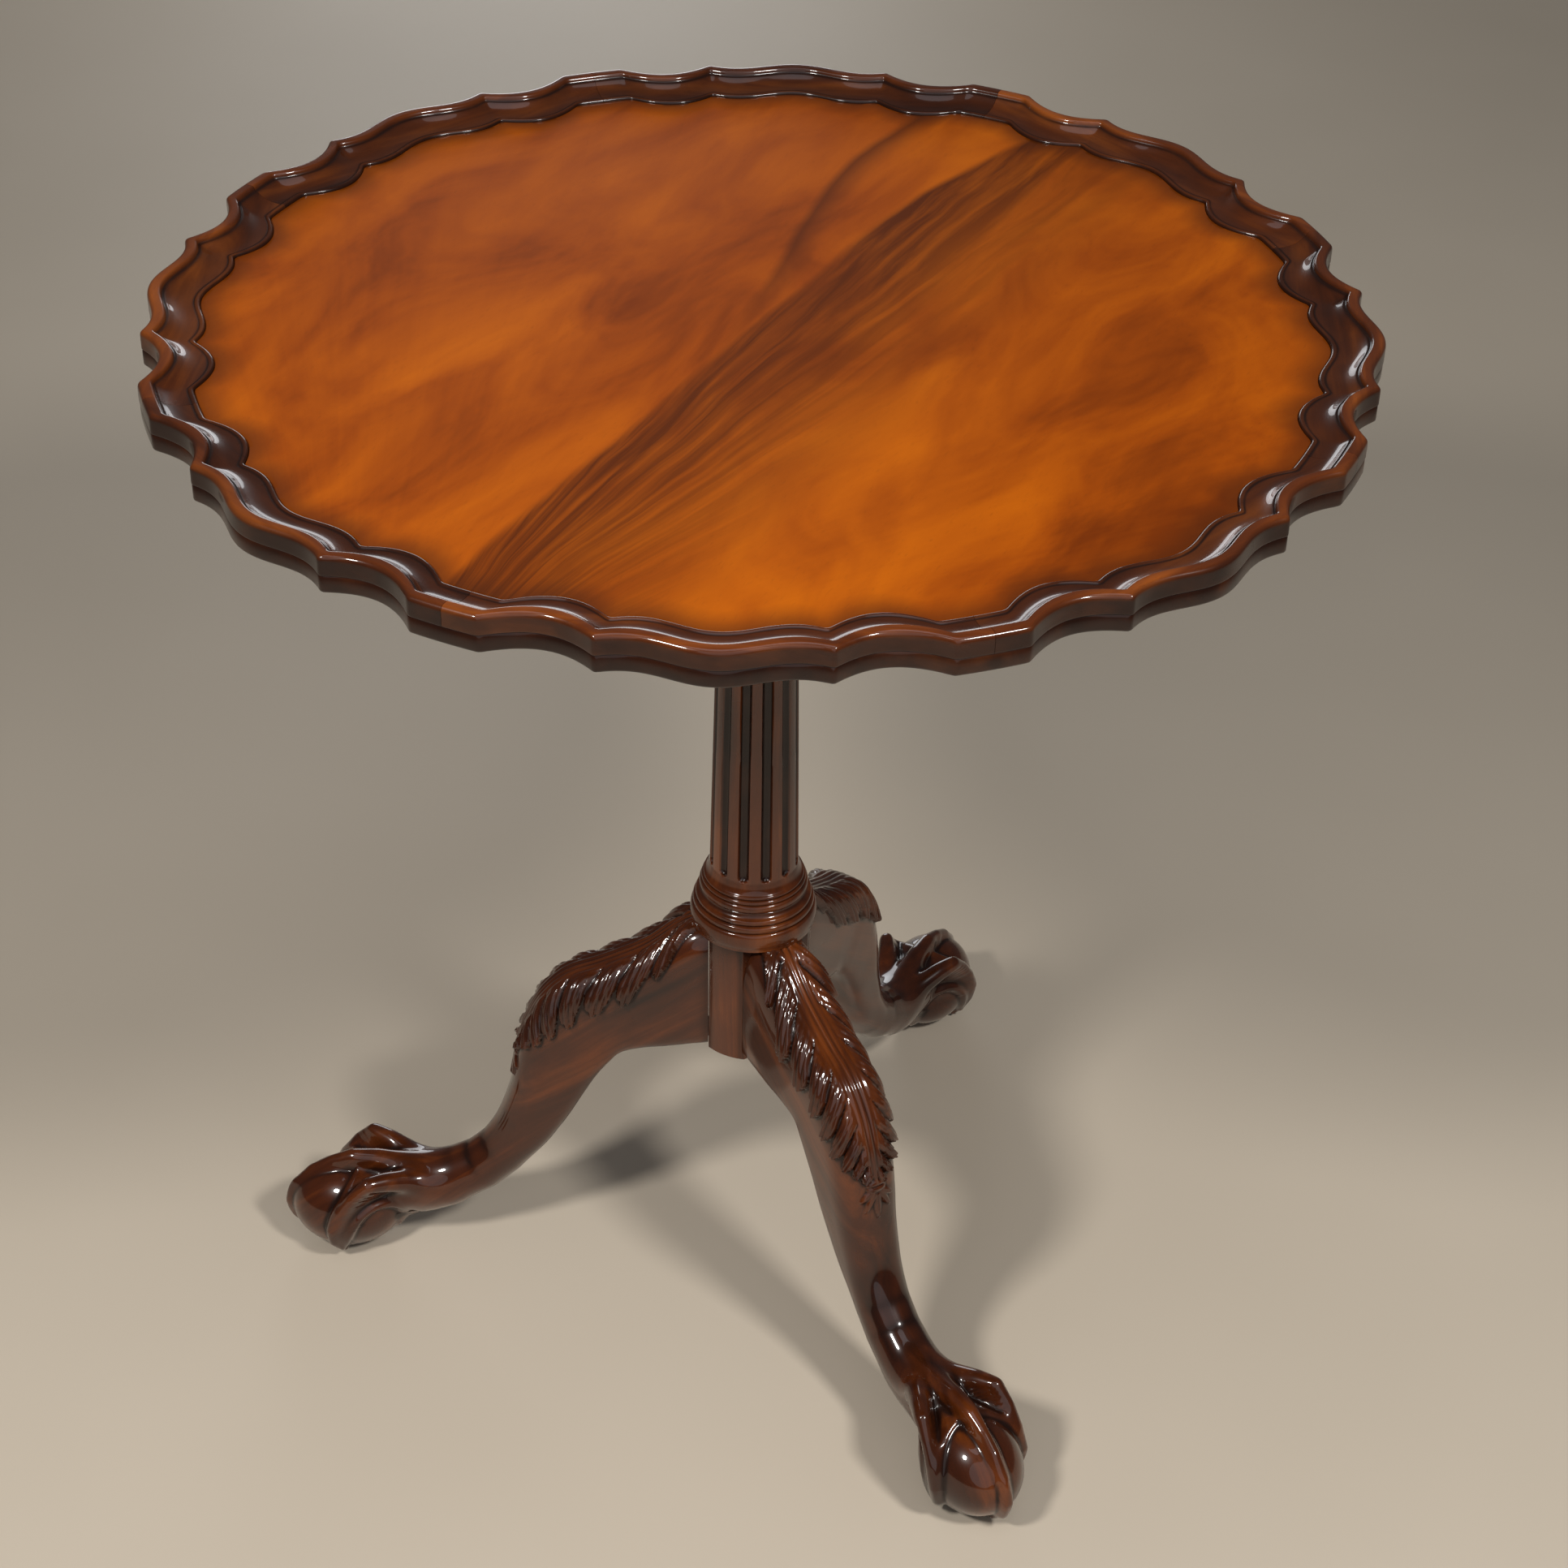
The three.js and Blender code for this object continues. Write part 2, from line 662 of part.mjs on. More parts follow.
// The base: everything that stays still when the top tips.
const base = new THREE.Group();
root.add(base);
place("column", columnGeometry(), darkMahogany, base);
wedgePlaces.forEach((x, i) =>
  place(`tenon_wedge_${i + 1}`, at(wedgeGeometry(), x, 0, 0), plainWood, base),
);
const leg = legGeometry();
["leg_back", "leg_left", "leg_right"].forEach((name, i) => {
  place(name, leg, darkMahogany, base).rotation.z = legTurns[i];
});
place("brace_plate", bracePlateGeometry(), blackIron, base);
const braceScrew = screw(bigScrew, braceScrewLength);
legTurns.forEach((turn, i) => {
  place(`brace_screw_${i + 1}`, onArm(braceScrew), blackIron, base).rotation.z = turn;
  place(`brace_screw_${i + 4}`, onHub(braceScrew), blackIron, base).rotation.z = turn;
});
place("tilt_block", blockGeometry(), plainWood, base);
place("pivot_pin_right", pinGeometry(), blackIron, base);
place("pivot_pin_left", pinGeometry(), blackIron, base).scale.x = -1;
place("strike_plate", strikePlateGeometry(), brass, base);
[1, -1].forEach((side, i) =>
  place(`strike_screw_${i + 1}`, intoBlock(screw(smallScrew, strikeScrewLength), side), brass, base),
);

// The top, which tips about the pins.
const top = new THREE.Group();
root.add(top);
place("top_board", boardGeometry(), darkMahogany, top);
const fieldTop = boardTop + fieldThickness;
place("field_panel", slab(scallopedOutline(rimWidth), boardTop, fieldTop), fieldMahogany, top);
for (let k = 0; k < scallops; k++) place(`rim_segment_${k + 1}`, rimSegment(k), darkMahogany, top);
place("cleat_right", cleatGeometry(), plainWood, top);
place("cleat_left", cleatGeometry(), plainWood, top).scale.x = -1;
cleatScrewPlaces.forEach(([x, y], i) => {
  const cleatScrew = at(screw(bigScrew, cleatScrewLength), x, y, cleatBottom);
  place(`cleat_screw_${i + 1}`, cleatScrew, blackIron, top);
});
place("latch_case", catchCaseGeometry(), brass, top);
place("latch_spring", springGeometry(), springSteel, top);
catchScrewPlaces.forEach(([x, y], i) => {
  const catchScrew = at(screw(smallScrew, catchScrewLength), x, y, caseTop);
  place(`latch_screw_${i + 1}`, catchScrew, brass, top);
});

// The catch's bolt and its knob, which slide in the case.
const bolt = new THREE.Group();
top.add(bolt);
place("latch_bolt", boltGeometry(), brass, bolt);
place("latch_knob", knobGeometry(), brass, bolt);

export default root;
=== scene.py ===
# %% [markdown]
# # A tilt top tea table
# A round top with a scalloped "pie crust" rim tips up on a block over a fluted column and three carved
# cabriole legs with ball-and-claw feet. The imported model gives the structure, its bodies and its joints.
# This script makes the fine surfaces around it: mouldings, flutes, carving, veneer, lacquer and metal.

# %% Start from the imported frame
import math

import bmesh
import bpy
import numpy as np
from mathutils import Matrix, Vector


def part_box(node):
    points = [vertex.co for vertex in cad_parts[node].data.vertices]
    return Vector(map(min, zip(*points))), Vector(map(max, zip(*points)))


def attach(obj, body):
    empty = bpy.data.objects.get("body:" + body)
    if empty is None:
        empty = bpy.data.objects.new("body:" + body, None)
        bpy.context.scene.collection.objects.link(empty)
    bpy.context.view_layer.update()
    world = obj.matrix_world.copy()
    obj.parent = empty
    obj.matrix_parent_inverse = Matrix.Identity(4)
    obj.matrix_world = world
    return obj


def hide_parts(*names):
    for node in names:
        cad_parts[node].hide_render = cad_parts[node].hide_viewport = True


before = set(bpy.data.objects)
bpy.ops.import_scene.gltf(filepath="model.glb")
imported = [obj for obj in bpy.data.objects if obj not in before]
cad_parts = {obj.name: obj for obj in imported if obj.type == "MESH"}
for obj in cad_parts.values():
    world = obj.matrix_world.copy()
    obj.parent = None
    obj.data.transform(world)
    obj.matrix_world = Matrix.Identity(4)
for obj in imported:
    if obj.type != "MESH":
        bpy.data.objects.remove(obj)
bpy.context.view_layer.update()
MM = 0.001

# %% [markdown]
# ## Surfaces from grids
# Every carved or moulded surface here is a grid: rows along the piece, columns round it. A grid can be
# computed for the whole piece at once as numpy arrays, and it keeps even faces, which smooth shading
# and reflections in lacquer need. A modelling session with booleans would give the same outline, but
# its long thin faces would show in the gloss.


# %% Grid helpers
def grid_faces(rows, columns, wrap=True):
    """Four-sided faces between each point, its neighbour in the next column and the two in the next row.
    With wrap, the last column joins the first."""
    i = np.arange(rows - 1)[:, None]
    j = np.arange(columns if wrap else columns - 1)[None, :]
    after = (j + 1) % columns
    corners = [i * columns + j, i * columns + after, (i + 1) * columns + after, (i + 1) * columns + j]
    return np.stack(np.broadcast_arrays(*corners), -1).reshape(-1, 4)


def placed(name, data):
    """A new object in the scene, at the origin."""
    made = bpy.data.objects.new(name, data)
    bpy.context.scene.collection.objects.link(made)
    return made


def new_piece(name, points, faces, crease=38.0):
    """A mesh object from (n, 3) points in millimetres and arrays of faces. Edges that turn by more than
    crease degrees are shaded sharp."""
    mesh = bpy.data.meshes.new(name)
    mesh.vertices.add(len(points))
    mesh.vertices.foreach_set("co", (np.asarray(points, float) * MM).astype(np.float32).ravel())
    corners = np.concatenate([f.ravel() for f in faces]).astype(np.int32)
    sizes = np.concatenate([np.full(len(f), f.shape[1]) for f in faces])
    starts = np.concatenate([[0], np.cumsum(sizes)[:-1]]).astype(np.int32)
    mesh.loops.add(len(corners))
    mesh.loops.foreach_set("vertex_index", corners)
    mesh.polygons.add(len(sizes))
    mesh.polygons.foreach_set("loop_start", starts)
    mesh.update(calc_edges=True)
    mesh.validate()
    mesh.shade_smooth()
    mesh.set_sharp_from_angle(angle=math.radians(crease))
    return placed(name, mesh)


def skin(name, rows, flat_ends=False, crease=38.0):
    """A closed skin over an (n, m, 3) grid of rings. Its ends are closed by fans to their middles, or
    with flat_ends by one flat face each."""
    n, m = rows.shape[:2]
    points = rows.reshape(-1, 3)
    faces = [grid_faces(n, m)]
    ring = np.arange(m)
    last = (n - 1) * m + ring
    if flat_ends:
        faces += [ring[::-1][None, :], last[None, :]]
    else:
        points = np.vstack([points, rows[0].mean(0), rows[-1].mean(0)])
        start, end = n * m, n * m + 1
        faces.append(np.stack([np.full(m, start), np.roll(ring, -1), ring], -1))
        faces.append(np.stack([np.full(m, end), last, np.roll(last, -1)], -1))
    return new_piece(name, points, faces, crease)


# %% [markdown]
# ### Numbers kept on the points
# A material can read a number or a vector that each point carries, called an attribute. Two are used: the
# point's place in its own board, so that the grain runs along each piece of wood, and the painted shade
# and stain on it.
# Texture coordinates could do the first, but each leg's grain runs another way.


# %% Values on points
def store(piece, name, values):
    """Stores one number or one vector for each point, for materials to read."""
    values = np.asarray(values, np.float32)
    kind, key = ("FLOAT", "value") if values.ndim == 1 else ("FLOAT_VECTOR", "vector")
    count = len(piece.data.vertices)
    if len(values) < count:
        tail = np.zeros((count - len(values),) + values.shape[1:], np.float32)
        values = np.concatenate([values, tail])
    attribute = piece.data.attributes.new(name, kind, "POINT")
    attribute.data.foreach_set(key, values.ravel())


def points_of(piece):
    """The piece's points as an (n, 3) array, in metres."""
    flat = np.zeros(len(piece.data.vertices) * 3, np.float32)
    piece.data.vertices.foreach_get("co", flat)
    return flat.reshape(-1, 3).astype(float)


def set_grain(piece, along, across, shift=0.0):
    """Gives each point its place in its own board: metres along the grain, across it and through it."""
    along = np.array(along, float) / np.linalg.norm(along)
    across = np.array(across, float) / np.linalg.norm(across)
    axes = np.stack([along, across, np.cross(along, across)], -1)
    store(piece, "grain", points_of(piece) @ axes + shift)


def blurred(field, passes):
    """A grid of numbers, smoothed by passes of the weights 1, 2, 1 along rows and round the columns."""
    for _ in range(passes):
        padded = np.concatenate([field[:1], field, field[-1:]])
        field = (padded[:-2] + 2 * field + padded[2:]) / 4
        field = (np.roll(field, 1, 1) + 2 * field + np.roll(field, -1, 1)) / 4
    return field


# %% [markdown]
# ### Curves
# Three curves shape nearly everything: a soft step, a bell, and a smooth line through given points.


# %% Step, bell and curve
def smooth_step(value, low, high):
    """0 below low, 1 above high, and the cubic 3t^2 - 2t^3 between."""
    t = np.clip((value - low) / (high - low), 0, 1)
    return t * t * (3 - 2 * t)


def bell(value, middle, width):
    """1 at the middle and e^-1 at width away: e^-((value - middle) / width)^2."""
    return np.exp(-(((value - middle) / width) ** 2))


def through(points, t):
    """A Catmull-Rom curve through the rows of points, which it meets at t = 0, 1, 2 and so on."""
    points = np.asarray(points, float)
    t = np.asarray(t, float)
    i = np.clip(np.floor(t).astype(int), 0, len(points) - 2)
    f = (t - i)[:, None]
    a, b, c, d = (points[np.clip(i + k, 0, len(points) - 1)] for k in (-1, 0, 1, 2))
    return b + f / 2 * (c - a + f * (2 * a - 5 * b + 4 * c - d + f * (3 * (b - c) + d - a)))


def box_mm(node):
    """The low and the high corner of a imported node, in millimetres."""
    return [np.array(corner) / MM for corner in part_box(node)]


print("a step's middle", smooth_step(0.5, 0, 1), "and a bell's top", bell(0.0, 0, 1))


# %% [markdown]
# ## Materials
# The table is mahogany under a glossy lacquer. Its colour carries painted shade: it is darkened in
# recesses and on outer faces, and painted light leaves the high places lighter. So each lacquered piece
# carries two values for its points, its place in its board (grain) and how much painted shade and stain
# lie on it (painted_shade_and_stain), and one material reads both.
# A painted picture would do this too, but a procedure keeps its detail at any distance.


# %% Shader helpers
def add(tree, kind, inputs=None, **settings):
    """Adds a shader node. inputs gives sockets a value or the output that feeds them."""
    made = tree.nodes.new("ShaderNode" + kind)
    for key, value in settings.items():
        setattr(made, key, value)
    for key, value in (inputs or {}).items():
        if isinstance(value, bpy.types.NodeSocket):
            tree.links.new(value, made.inputs[key])
        else:
            made.inputs[key].default_value = value
    return made


def math_node(tree, operation, a, b=0.0, clamp=False):
    """The result of one sum on two numbers or sockets."""
    return add(tree, "Math", {0: a, 1: b}, operation=operation, use_clamp=clamp).outputs[0]


def times(tree, a, b, clamp=False):
    """a multiplied by b."""
    return math_node(tree, "MULTIPLY", a, b, clamp)


def plus(tree, a, b):
    """a and b added."""
    return math_node(tree, "ADD", a, b)


def less(tree, a, b):
    """a less b."""
    return math_node(tree, "SUBTRACT", a, b)


def mixed(tree, share, a, b):
    """Colour a turned into colour b by share."""
    a = a if isinstance(a, bpy.types.NodeSocket) else (*a, 1.0)
    b = b if isinstance(b, bpy.types.NodeSocket) else (*b, 1.0)
    node = add(tree, "Mix", {0: share, 6: a, 7: b}, data_type="RGBA")
    return node.outputs[2]


def ramp(tree, share, stops):
    """A colour for a number, by stops of (place, colour) or (place, grey)."""
    node = add(tree, "ValToRGB", {0: share})
    elements = node.color_ramp.elements
    while len(elements) < len(stops):
        elements.new(0.5)
    for element, (place, colour) in zip(elements, stops):
        element.position = place
        element.color = (colour,) * 3 + (1,) if isinstance(colour, float) else (*colour, 1)
    return node.outputs[0]


def stretched(tree, vector, scale, turn=(0, 0, 0), shift=(0, 0, 0)):
    """Coordinates moved, turned and multiplied by scale on each axis."""
    inputs = {"Vector": vector, "Scale": scale, "Rotation": turn, "Location": shift}
    return add(tree, "Mapping", inputs).outputs[0]


def noise(tree, vector, scale, detail=4.0, rough=0.55, bend=0.0, turn=(0, 0, 0), shift=(0, 0, 0)):
    """Smooth random values from 0 to 1. Three numbers for scale draw the pattern out by axis."""
    if isinstance(scale, tuple):
        vector, scale = stretched(tree, vector, scale, turn, shift), 1.0
    inputs = {"Vector": vector, "Scale": scale, "Detail": detail, "Roughness": rough, "Distortion": bend}
    return add(tree, "TexNoise", inputs).outputs[0]


def new_material(name, **fixed):
    """A material and its Principled shader, with values that are the same all over set on the shader."""
    material = bpy.data.materials.new(name)
    material.use_nodes = True
    shader = material.node_tree.nodes["Principled BSDF"]
    for key, value in fixed.items():
        shader.inputs[key.replace("_", " ")].default_value = value
    return material, material.node_tree, shader


def feed(tree, shader, **sockets):
    """Links outputs to the shader's inputs by name."""
    for key, value in sockets.items():
        tree.links.new(value, shader.inputs[key.replace("_", " ")])


def bump(tree, height, distance, strength=1.0):
    """A normal from a height, distance metres high at height 1."""
    inputs = {"Height": height, "Distance": distance, "Strength": strength}
    return add(tree, "Bump", inputs).outputs[0]


# %% [markdown]
# ### Lacquer over mahogany
# Under the coat lies a brown that changes with the grain, then pores, then painted shade and stain,
# which mix it towards a near-black brown. Where the painted shade lies, the coat is dulled as well. A
# flat brown with a clear coat would look like plastic.

# %% Lacquered mahogany
# A near-black brown that stands for painted shade in recesses, and also for stain and dark joints.
SHADE_AND_STAIN_COLOUR = (0.012, 0.0045, 0.003)


def lacquered_mahogany(name, dark, middle, light, shade_and_stain_share=0.97, dulling=0.55):
    """Mahogany with long soft stripes, short dark pores, and painted shade and stain, under lacquer."""
    gloss = {"Coat_IOR": 1.5, "Coat_Roughness": 0.03, "Specular_IOR_Level": 0.15}
    material, tree, shader = new_material(name, **gloss)
    grain = add(tree, "Attribute", attribute_name="grain").outputs["Vector"]
    painted_shade_and_stain = add(tree, "Attribute", attribute_name="painted_shade_and_stain").outputs["Fac"]
    stripes = noise(tree, grain, (3.0, 42.0, 42.0), 5.0, 0.6, 0.6)
    clouds = noise(tree, grain, (9.0, 16.0, 16.0), 3.0)
    share = plus(tree, times(tree, stripes, 0.62), times(tree, clouds, 0.38))
    wood = ramp(tree, share, [(0.33, dark), (0.50, middle), (0.66, light)])
    pores = noise(tree, grain, (150.0, 2600.0, 2600.0), 2.0)
    pore_mask = ramp(tree, pores, [(0.60, 0.0), (0.70, 1.0)])
    porous = mixed(tree, times(tree, pore_mask, 0.35), wood, dark)
    patches = noise(tree, grain, (38.0, 60.0, 60.0), 3.0)
    lift = times(tree, less(tree, patches, 0.5), 0.55)
    # Painted shade and stain, varied by random patches, mix the wood towards near-black and dull the coat.
    shade_and_stain_amount = times(tree, painted_shade_and_stain, plus(tree, lift, 1.0), clamp=True)
    colour = mixed(tree, times(tree, shade_and_stain_amount, shade_and_stain_share), porous, SHADE_AND_STAIN_COLOUR)
    rough = ramp(tree, clouds, [(0.3, 0.24), (0.7, 0.34)])
    polish = less(tree, 1.0, times(tree, shade_and_stain_amount, dulling))
    feed(tree, shader, Base_Color=colour, Roughness=rough, Coat_Weight=polish)
    feed(tree, shader, Normal=bump(tree, stripes, 0.00012, 0.35))
    return material


leg_lacquer = lacquered_mahogany(
    "lacquered_mahogany", (0.013, 0.0033, 0.0014), (0.058, 0.0125, 0.0028), (0.165, 0.038, 0.0055)
)
rim_lacquer = lacquered_mahogany(
    "rim_mahogany", (0.030, 0.0068, 0.0020), (0.110, 0.0235, 0.0036), (0.270, 0.066, 0.0080)
)
print("lacquers", leg_lacquer.name, rim_lacquer.name)

# %% [markdown]
# ## The veneered field
# The field is one sheet of crotch mahogany, cut where a trunk forks. A dark plume runs across it, sharp
# on one side and feathered on the other, with a thin second streak beside it, and mottled flames lie
# on both sides. The plume is a function of the distance from a line; the flames are noise that is
# stretched along rays from the plume's foot.

# %% The plume
PLUME_X = 0.019  # the plume's line, metres to the right of the middle
PLUME_FOOT = (0.03, -0.46)  # where its rays meet, in front of the table
print("plume's line", PLUME_X, "m right of the middle")


def swayed_place(tree):
    """Places on the sheet, in metres, moved about by a soft noise, so that no line on it is straight."""
    place = add(tree, "TexCoord").outputs["Object"]
    drift = add(tree, "TexNoise", {"Vector": place, "Scale": 5.0, "Detail": 3.0})
    centred = {0: drift.outputs["Color"], 1: (0.5, 0.5, 0.5)}
    sway = add(tree, "VectorMath", centred, operation="SUBTRACT").outputs[0]
    sway = add(tree, "VectorMath", {0: sway, "Scale": 0.022}, operation="SCALE").outputs[0]
    return add(tree, "VectorMath", {0: place, 1: sway}, operation="ADD").outputs[0]


def ray_streaks(tree, x, y):
    """Noise over (46 x / y, 5 y) from the plume's foot, which draws it out along the rays."""
    from_x = less(tree, x, PLUME_FOOT[0])
    from_y = less(tree, y, PLUME_FOOT[1])
    ray = math_node(tree, "DIVIDE", from_x, from_y)
    polar = add(tree, "CombineXYZ", {0: times(tree, ray, 46.0), 1: times(tree, from_y, 5.0)}).outputs[0]
    return noise(tree, polar, 1.0, 5.0, 0.6, 0.5)


def plume_share(tree, x, y, streaks):
    """1 in the dark plume and 0 away from it, by the distance aside from its line, which leans to the
    right at the far end by 0.9 times the square of the distance past 0.14 m."""
    far = math_node(tree, "MAXIMUM", less(tree, y, 0.14), 0.0)
    lean = times(tree, times(tree, far, far), -0.9)
    aside = plus(tree, less(tree, x, PLUME_X), lean)
    body_stops = [(0.405, 0.0), (0.428, 1.0), (0.56, 0.95), (0.70, 0.60), (0.95, 0.0)]
    body = ramp(tree, plus(tree, times(tree, aside, 4.0), 0.5), body_stops)
    streaked = times(tree, body, ramp(tree, streaks, [(0.30, 0.35), (0.60, 1.0)]))
    # The thin streak, on the left of the plume's far half.
    side = plus(tree, aside, times(tree, math_node(tree, "MAXIMUM", y, -0.02), 0.22))
    thin_stops = [(0.22, 0.0), (0.27, 0.85), (0.33, 0.45), (0.40, 0.0)]
    thin = ramp(tree, plus(tree, times(tree, side, 8.0), 0.5), thin_stops)
    only_far = ramp(tree, plus(tree, y, 0.5), [(0.44, 0.0), (0.60, 1.0)])
    return math_node(tree, "MAXIMUM", streaked, times(tree, thin, only_far))


# %% [markdown]
# ### Flames, pores and shading
# The mottle round the plume is a sum of four noises, from broad clouds to fine ribs. A ramp of four
# browns turns that one number into wood, the plume darkens it, and painted shade darkens the last few
# centimetres before the moulding.


# %% The field's material
def crotch_veneer():
    """Wood, plume, painted shade by the moulding and pores, under a thin satin coat."""
    gloss = {"Coat_Weight": 0.7, "Coat_IOR": 1.3, "Coat_Roughness": 0.14, "Specular_IOR_Level": 0.05}
    material, tree, shader = new_material("crotch_veneer", **gloss)
    bent = swayed_place(tree)
    parts = add(tree, "SeparateXYZ", {0: bent}).outputs
    streaks = ray_streaks(tree, parts[0], parts[1])
    plume = plume_share(tree, parts[0], parts[1], streaks)
    flames = noise(tree, bent, (16.0, 6.5, 1.0), 4.0, 0.55, 0.7, (0, 0, 0.45))
    clouds = noise(tree, bent, (5.0, 3.2, 1.0), 3.0, 0.5, 0.4, (0, 0, -0.4), (3.1, 1.7, 0))
    fine = noise(tree, bent, (95.0, 16.0, 1.0), 3.0, 0.6, turn=(0, 0, 0.35))
    share = 0.0
    for value, weight in [(flames, 0.60), (clouds, 0.26), (fine, 0.07), (streaks, 0.07)]:
        share = plus(tree, times(tree, value, weight), share)
    low_stops = [(0.32, (0.150, 0.0250, 0.0006)), (0.43, (0.275, 0.050, 0.0006))]
    high_stops = [(0.53, (0.370, 0.075, 0.0008)), (0.68, (0.480, 0.108, 0.0010))]
    wood = ramp(tree, share, low_stops + high_stops)
    wood = mixed(tree, plume, wood, (0.088, 0.0165, 0.0008))
    # Painted shade: darker over the last few centimetres before the moulding.
    edge = add(tree, "Attribute", attribute_name="painted_shade_and_stain").outputs["Fac"]
    shaded = mixed(tree, times(tree, edge, 0.72), wood, (0.060, 0.013, 0.002))
    pores = noise(tree, bent, (1500.0, 150.0, 1.0), 2.0, turn=(0, 0, 0.2))
    pore_mask = times(tree, ramp(tree, pores, [(0.62, 0.0), (0.72, 1.0)]), 0.22)
    colour = mixed(tree, pore_mask, shaded, (0.08, 0.02, 0.003))
    feed(tree, shader, Base_Color=colour, Roughness=ramp(tree, clouds, [(0.3, 0.34), (0.7, 0.44)]))
    return material


veneer = crotch_veneer()
print("veneer", len(veneer.node_tree.nodes), "nodes")

# %% [markdown]
# ## Wood and metal that nobody looks at
# Under the top a maker leaves the mahogany bare, and it dries to a dull brown with open pores. The
# fittings are lacquered brass, blackened iron and a spring of bright steel.


# %% Bare wood, brass, iron and steel
def bare_mahogany(name, dark, light):
    """Unpolished wood: stripes along the grain, open pores that are real hollows, no coat."""
    material, tree, shader = new_material(name)
    grain = add(tree, "Attribute", attribute_name="grain").outputs["Vector"]
    stripes = noise(tree, grain, (3.0, 60.0, 60.0), 6.0, 0.62, 0.4)
    pores = noise(tree, grain, (110.0, 1500.0, 1500.0), 2.0)
    pore_mask = ramp(tree, pores, [(0.56, 0.0), (0.68, 1.0)])
    wood = ramp(tree, stripes, [(0.30, dark), (0.68, light)])
    colour = mixed(tree, times(tree, pore_mask, 0.6), wood, tuple(0.35 * c for c in dark))
    height = less(tree, stripes, times(tree, pore_mask, 0.5))
    feed(tree, shader, Base_Color=colour, Roughness=ramp(tree, stripes, [(0.3, 0.52), (0.7, 0.68)]))
    feed(tree, shader, Normal=bump(tree, height, 0.0002, 0.6))
    return material


def metal(name, dull, bright, roughness, scratch=0.3):
    """A metal with cloudy tarnish between two colours and fine marks that change its gloss."""
    material, tree, shader = new_material(name, Metallic=1.0)
    place = add(tree, "TexCoord").outputs["Object"]
    tarnish = noise(tree, place, 70.0, 5.0, 0.6, 0.5)
    marks = noise(tree, place, (900.0, 120.0, 900.0), 3.0, turn=(0.3, 0.2, 0.5))
    feed(tree, shader, Base_Color=ramp(tree, tarnish, [(0.35, dull), (0.62, bright)]))
    low, high = roughness
    worn = plus(tree, times(tree, tarnish, 0.7), times(tree, marks, 0.3))
    feed(tree, shader, Roughness=ramp(tree, worn, [(0.35, high), (0.65, low)]))
    feed(tree, shader, Normal=bump(tree, marks, 0.00004, scratch))
    return material


bare_wood = bare_mahogany("bare_mahogany", (0.085, 0.032, 0.014), (0.215, 0.095, 0.045))
wedge_wood = bare_mahogany("wedge_maple", (0.30, 0.19, 0.10), (0.46, 0.31, 0.17))
brass = metal("aged_brass", (0.30, 0.17, 0.055), (0.66, 0.43, 0.16), (0.20, 0.42))
iron = metal("blackened_iron", (0.020, 0.018, 0.017), (0.075, 0.070, 0.066), (0.38, 0.62), 0.6)
steel = metal("spring_steel", (0.34, 0.34, 0.35), (0.62, 0.62, 0.62), (0.16, 0.34))


def dress(piece, body, slot, material, *nodes):
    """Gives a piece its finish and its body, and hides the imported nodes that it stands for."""
    piece.data.materials.append(material)
    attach(piece, body)
    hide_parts(*nodes)
    return piece


print("materials", len(bpy.data.materials))


# %% [markdown]
# ## The scalloped edge
# The edge has eight repeats. Each is a short flat, a round bay, a pointed cusp, a shallow dip and a lobe,
# mirrored about the lobe's middle. One function gives how far the edge lies inside the greatest radius;
# the mouldings follow it further in. Carving never leaves a razor edge, so the function is smoothed.

# %% Outline of the top
TOP_RADIUS = 360.0
SCALLOPS = 8
SCALLOP = 360.0 / SCALLOPS
SCALLOP_TURN = 2.8
FLAT, CUSP, DIP = 3.2, 12.9, 15.9
BAY_DEPTH, CUSP_INSET, DIP_INSET, LOBE_OUT = 12.7, 2.5, 7.5, 0.5
RIM_WIDTH = 31.0


def sharp_inset(angle):
    """Millimetres inside the top radius, by the angle in degrees from the middle of a flat. The bay is a
    parabola, the step behind the cusp a quarter of one, and the lobe half a cosine wave."""
    fold = np.minimum(angle % SCALLOP, SCALLOP - angle % SCALLOP)
    bay = (fold - FLAT) / (CUSP - FLAT)
    step = (DIP - fold) / (DIP - CUSP)
    lobe = (fold - DIP) / (SCALLOP / 2 - DIP)
    in_bay = CUSP_INSET * bay + BAY_DEPTH * 4 * bay * (1 - bay)
    in_step = DIP_INSET + (CUSP_INSET - DIP_INSET) * step**2
    in_lobe = DIP_INSET - (DIP_INSET + LOBE_OUT) * (1 - np.cos(np.pi * lobe)) / 2
    return np.select([fold <= FLAT, fold <= CUSP, fold <= DIP], [0 * fold, in_bay, in_step], in_lobe)


FINE_STEP = 0.025
fine_angles = np.arange(0, SCALLOP, FINE_STEP)


def softened_inset(sigma):
    """The inset on fine_angles, averaged by a bell curve of sigma degrees round the repeat."""
    waves = np.fft.rfft(sharp_inset(fine_angles))
    frequency = np.arange(len(waves)) * 2 * np.pi / SCALLOP
    return np.fft.irfft(waves * np.exp(-((frequency * sigma) ** 2) / 2), len(fine_angles))


edge_curve = softened_inset(0.14)
inner_curve = softened_inset(0.28)


def outline(angles, inset):
    """Points of the outline in the plane: the radius at an angle, less an inset, which may be a grid."""
    at = (angles % SCALLOP) / FINE_STEP
    grid = np.arange(len(fine_angles) + 1)
    near = np.interp(at, grid, np.append(edge_curve, edge_curve[0]))
    deep = np.interp(at, grid, np.append(inner_curve, inner_curve[0]))
    share = np.clip(inset / RIM_WIDTH, 0, 1)
    radius = TOP_RADIUS - near * (1 - share) - deep * share - inset
    turn = np.radians(angles + SCALLOP_TURN)
    return radius * np.cos(turn), radius * np.sin(turn)


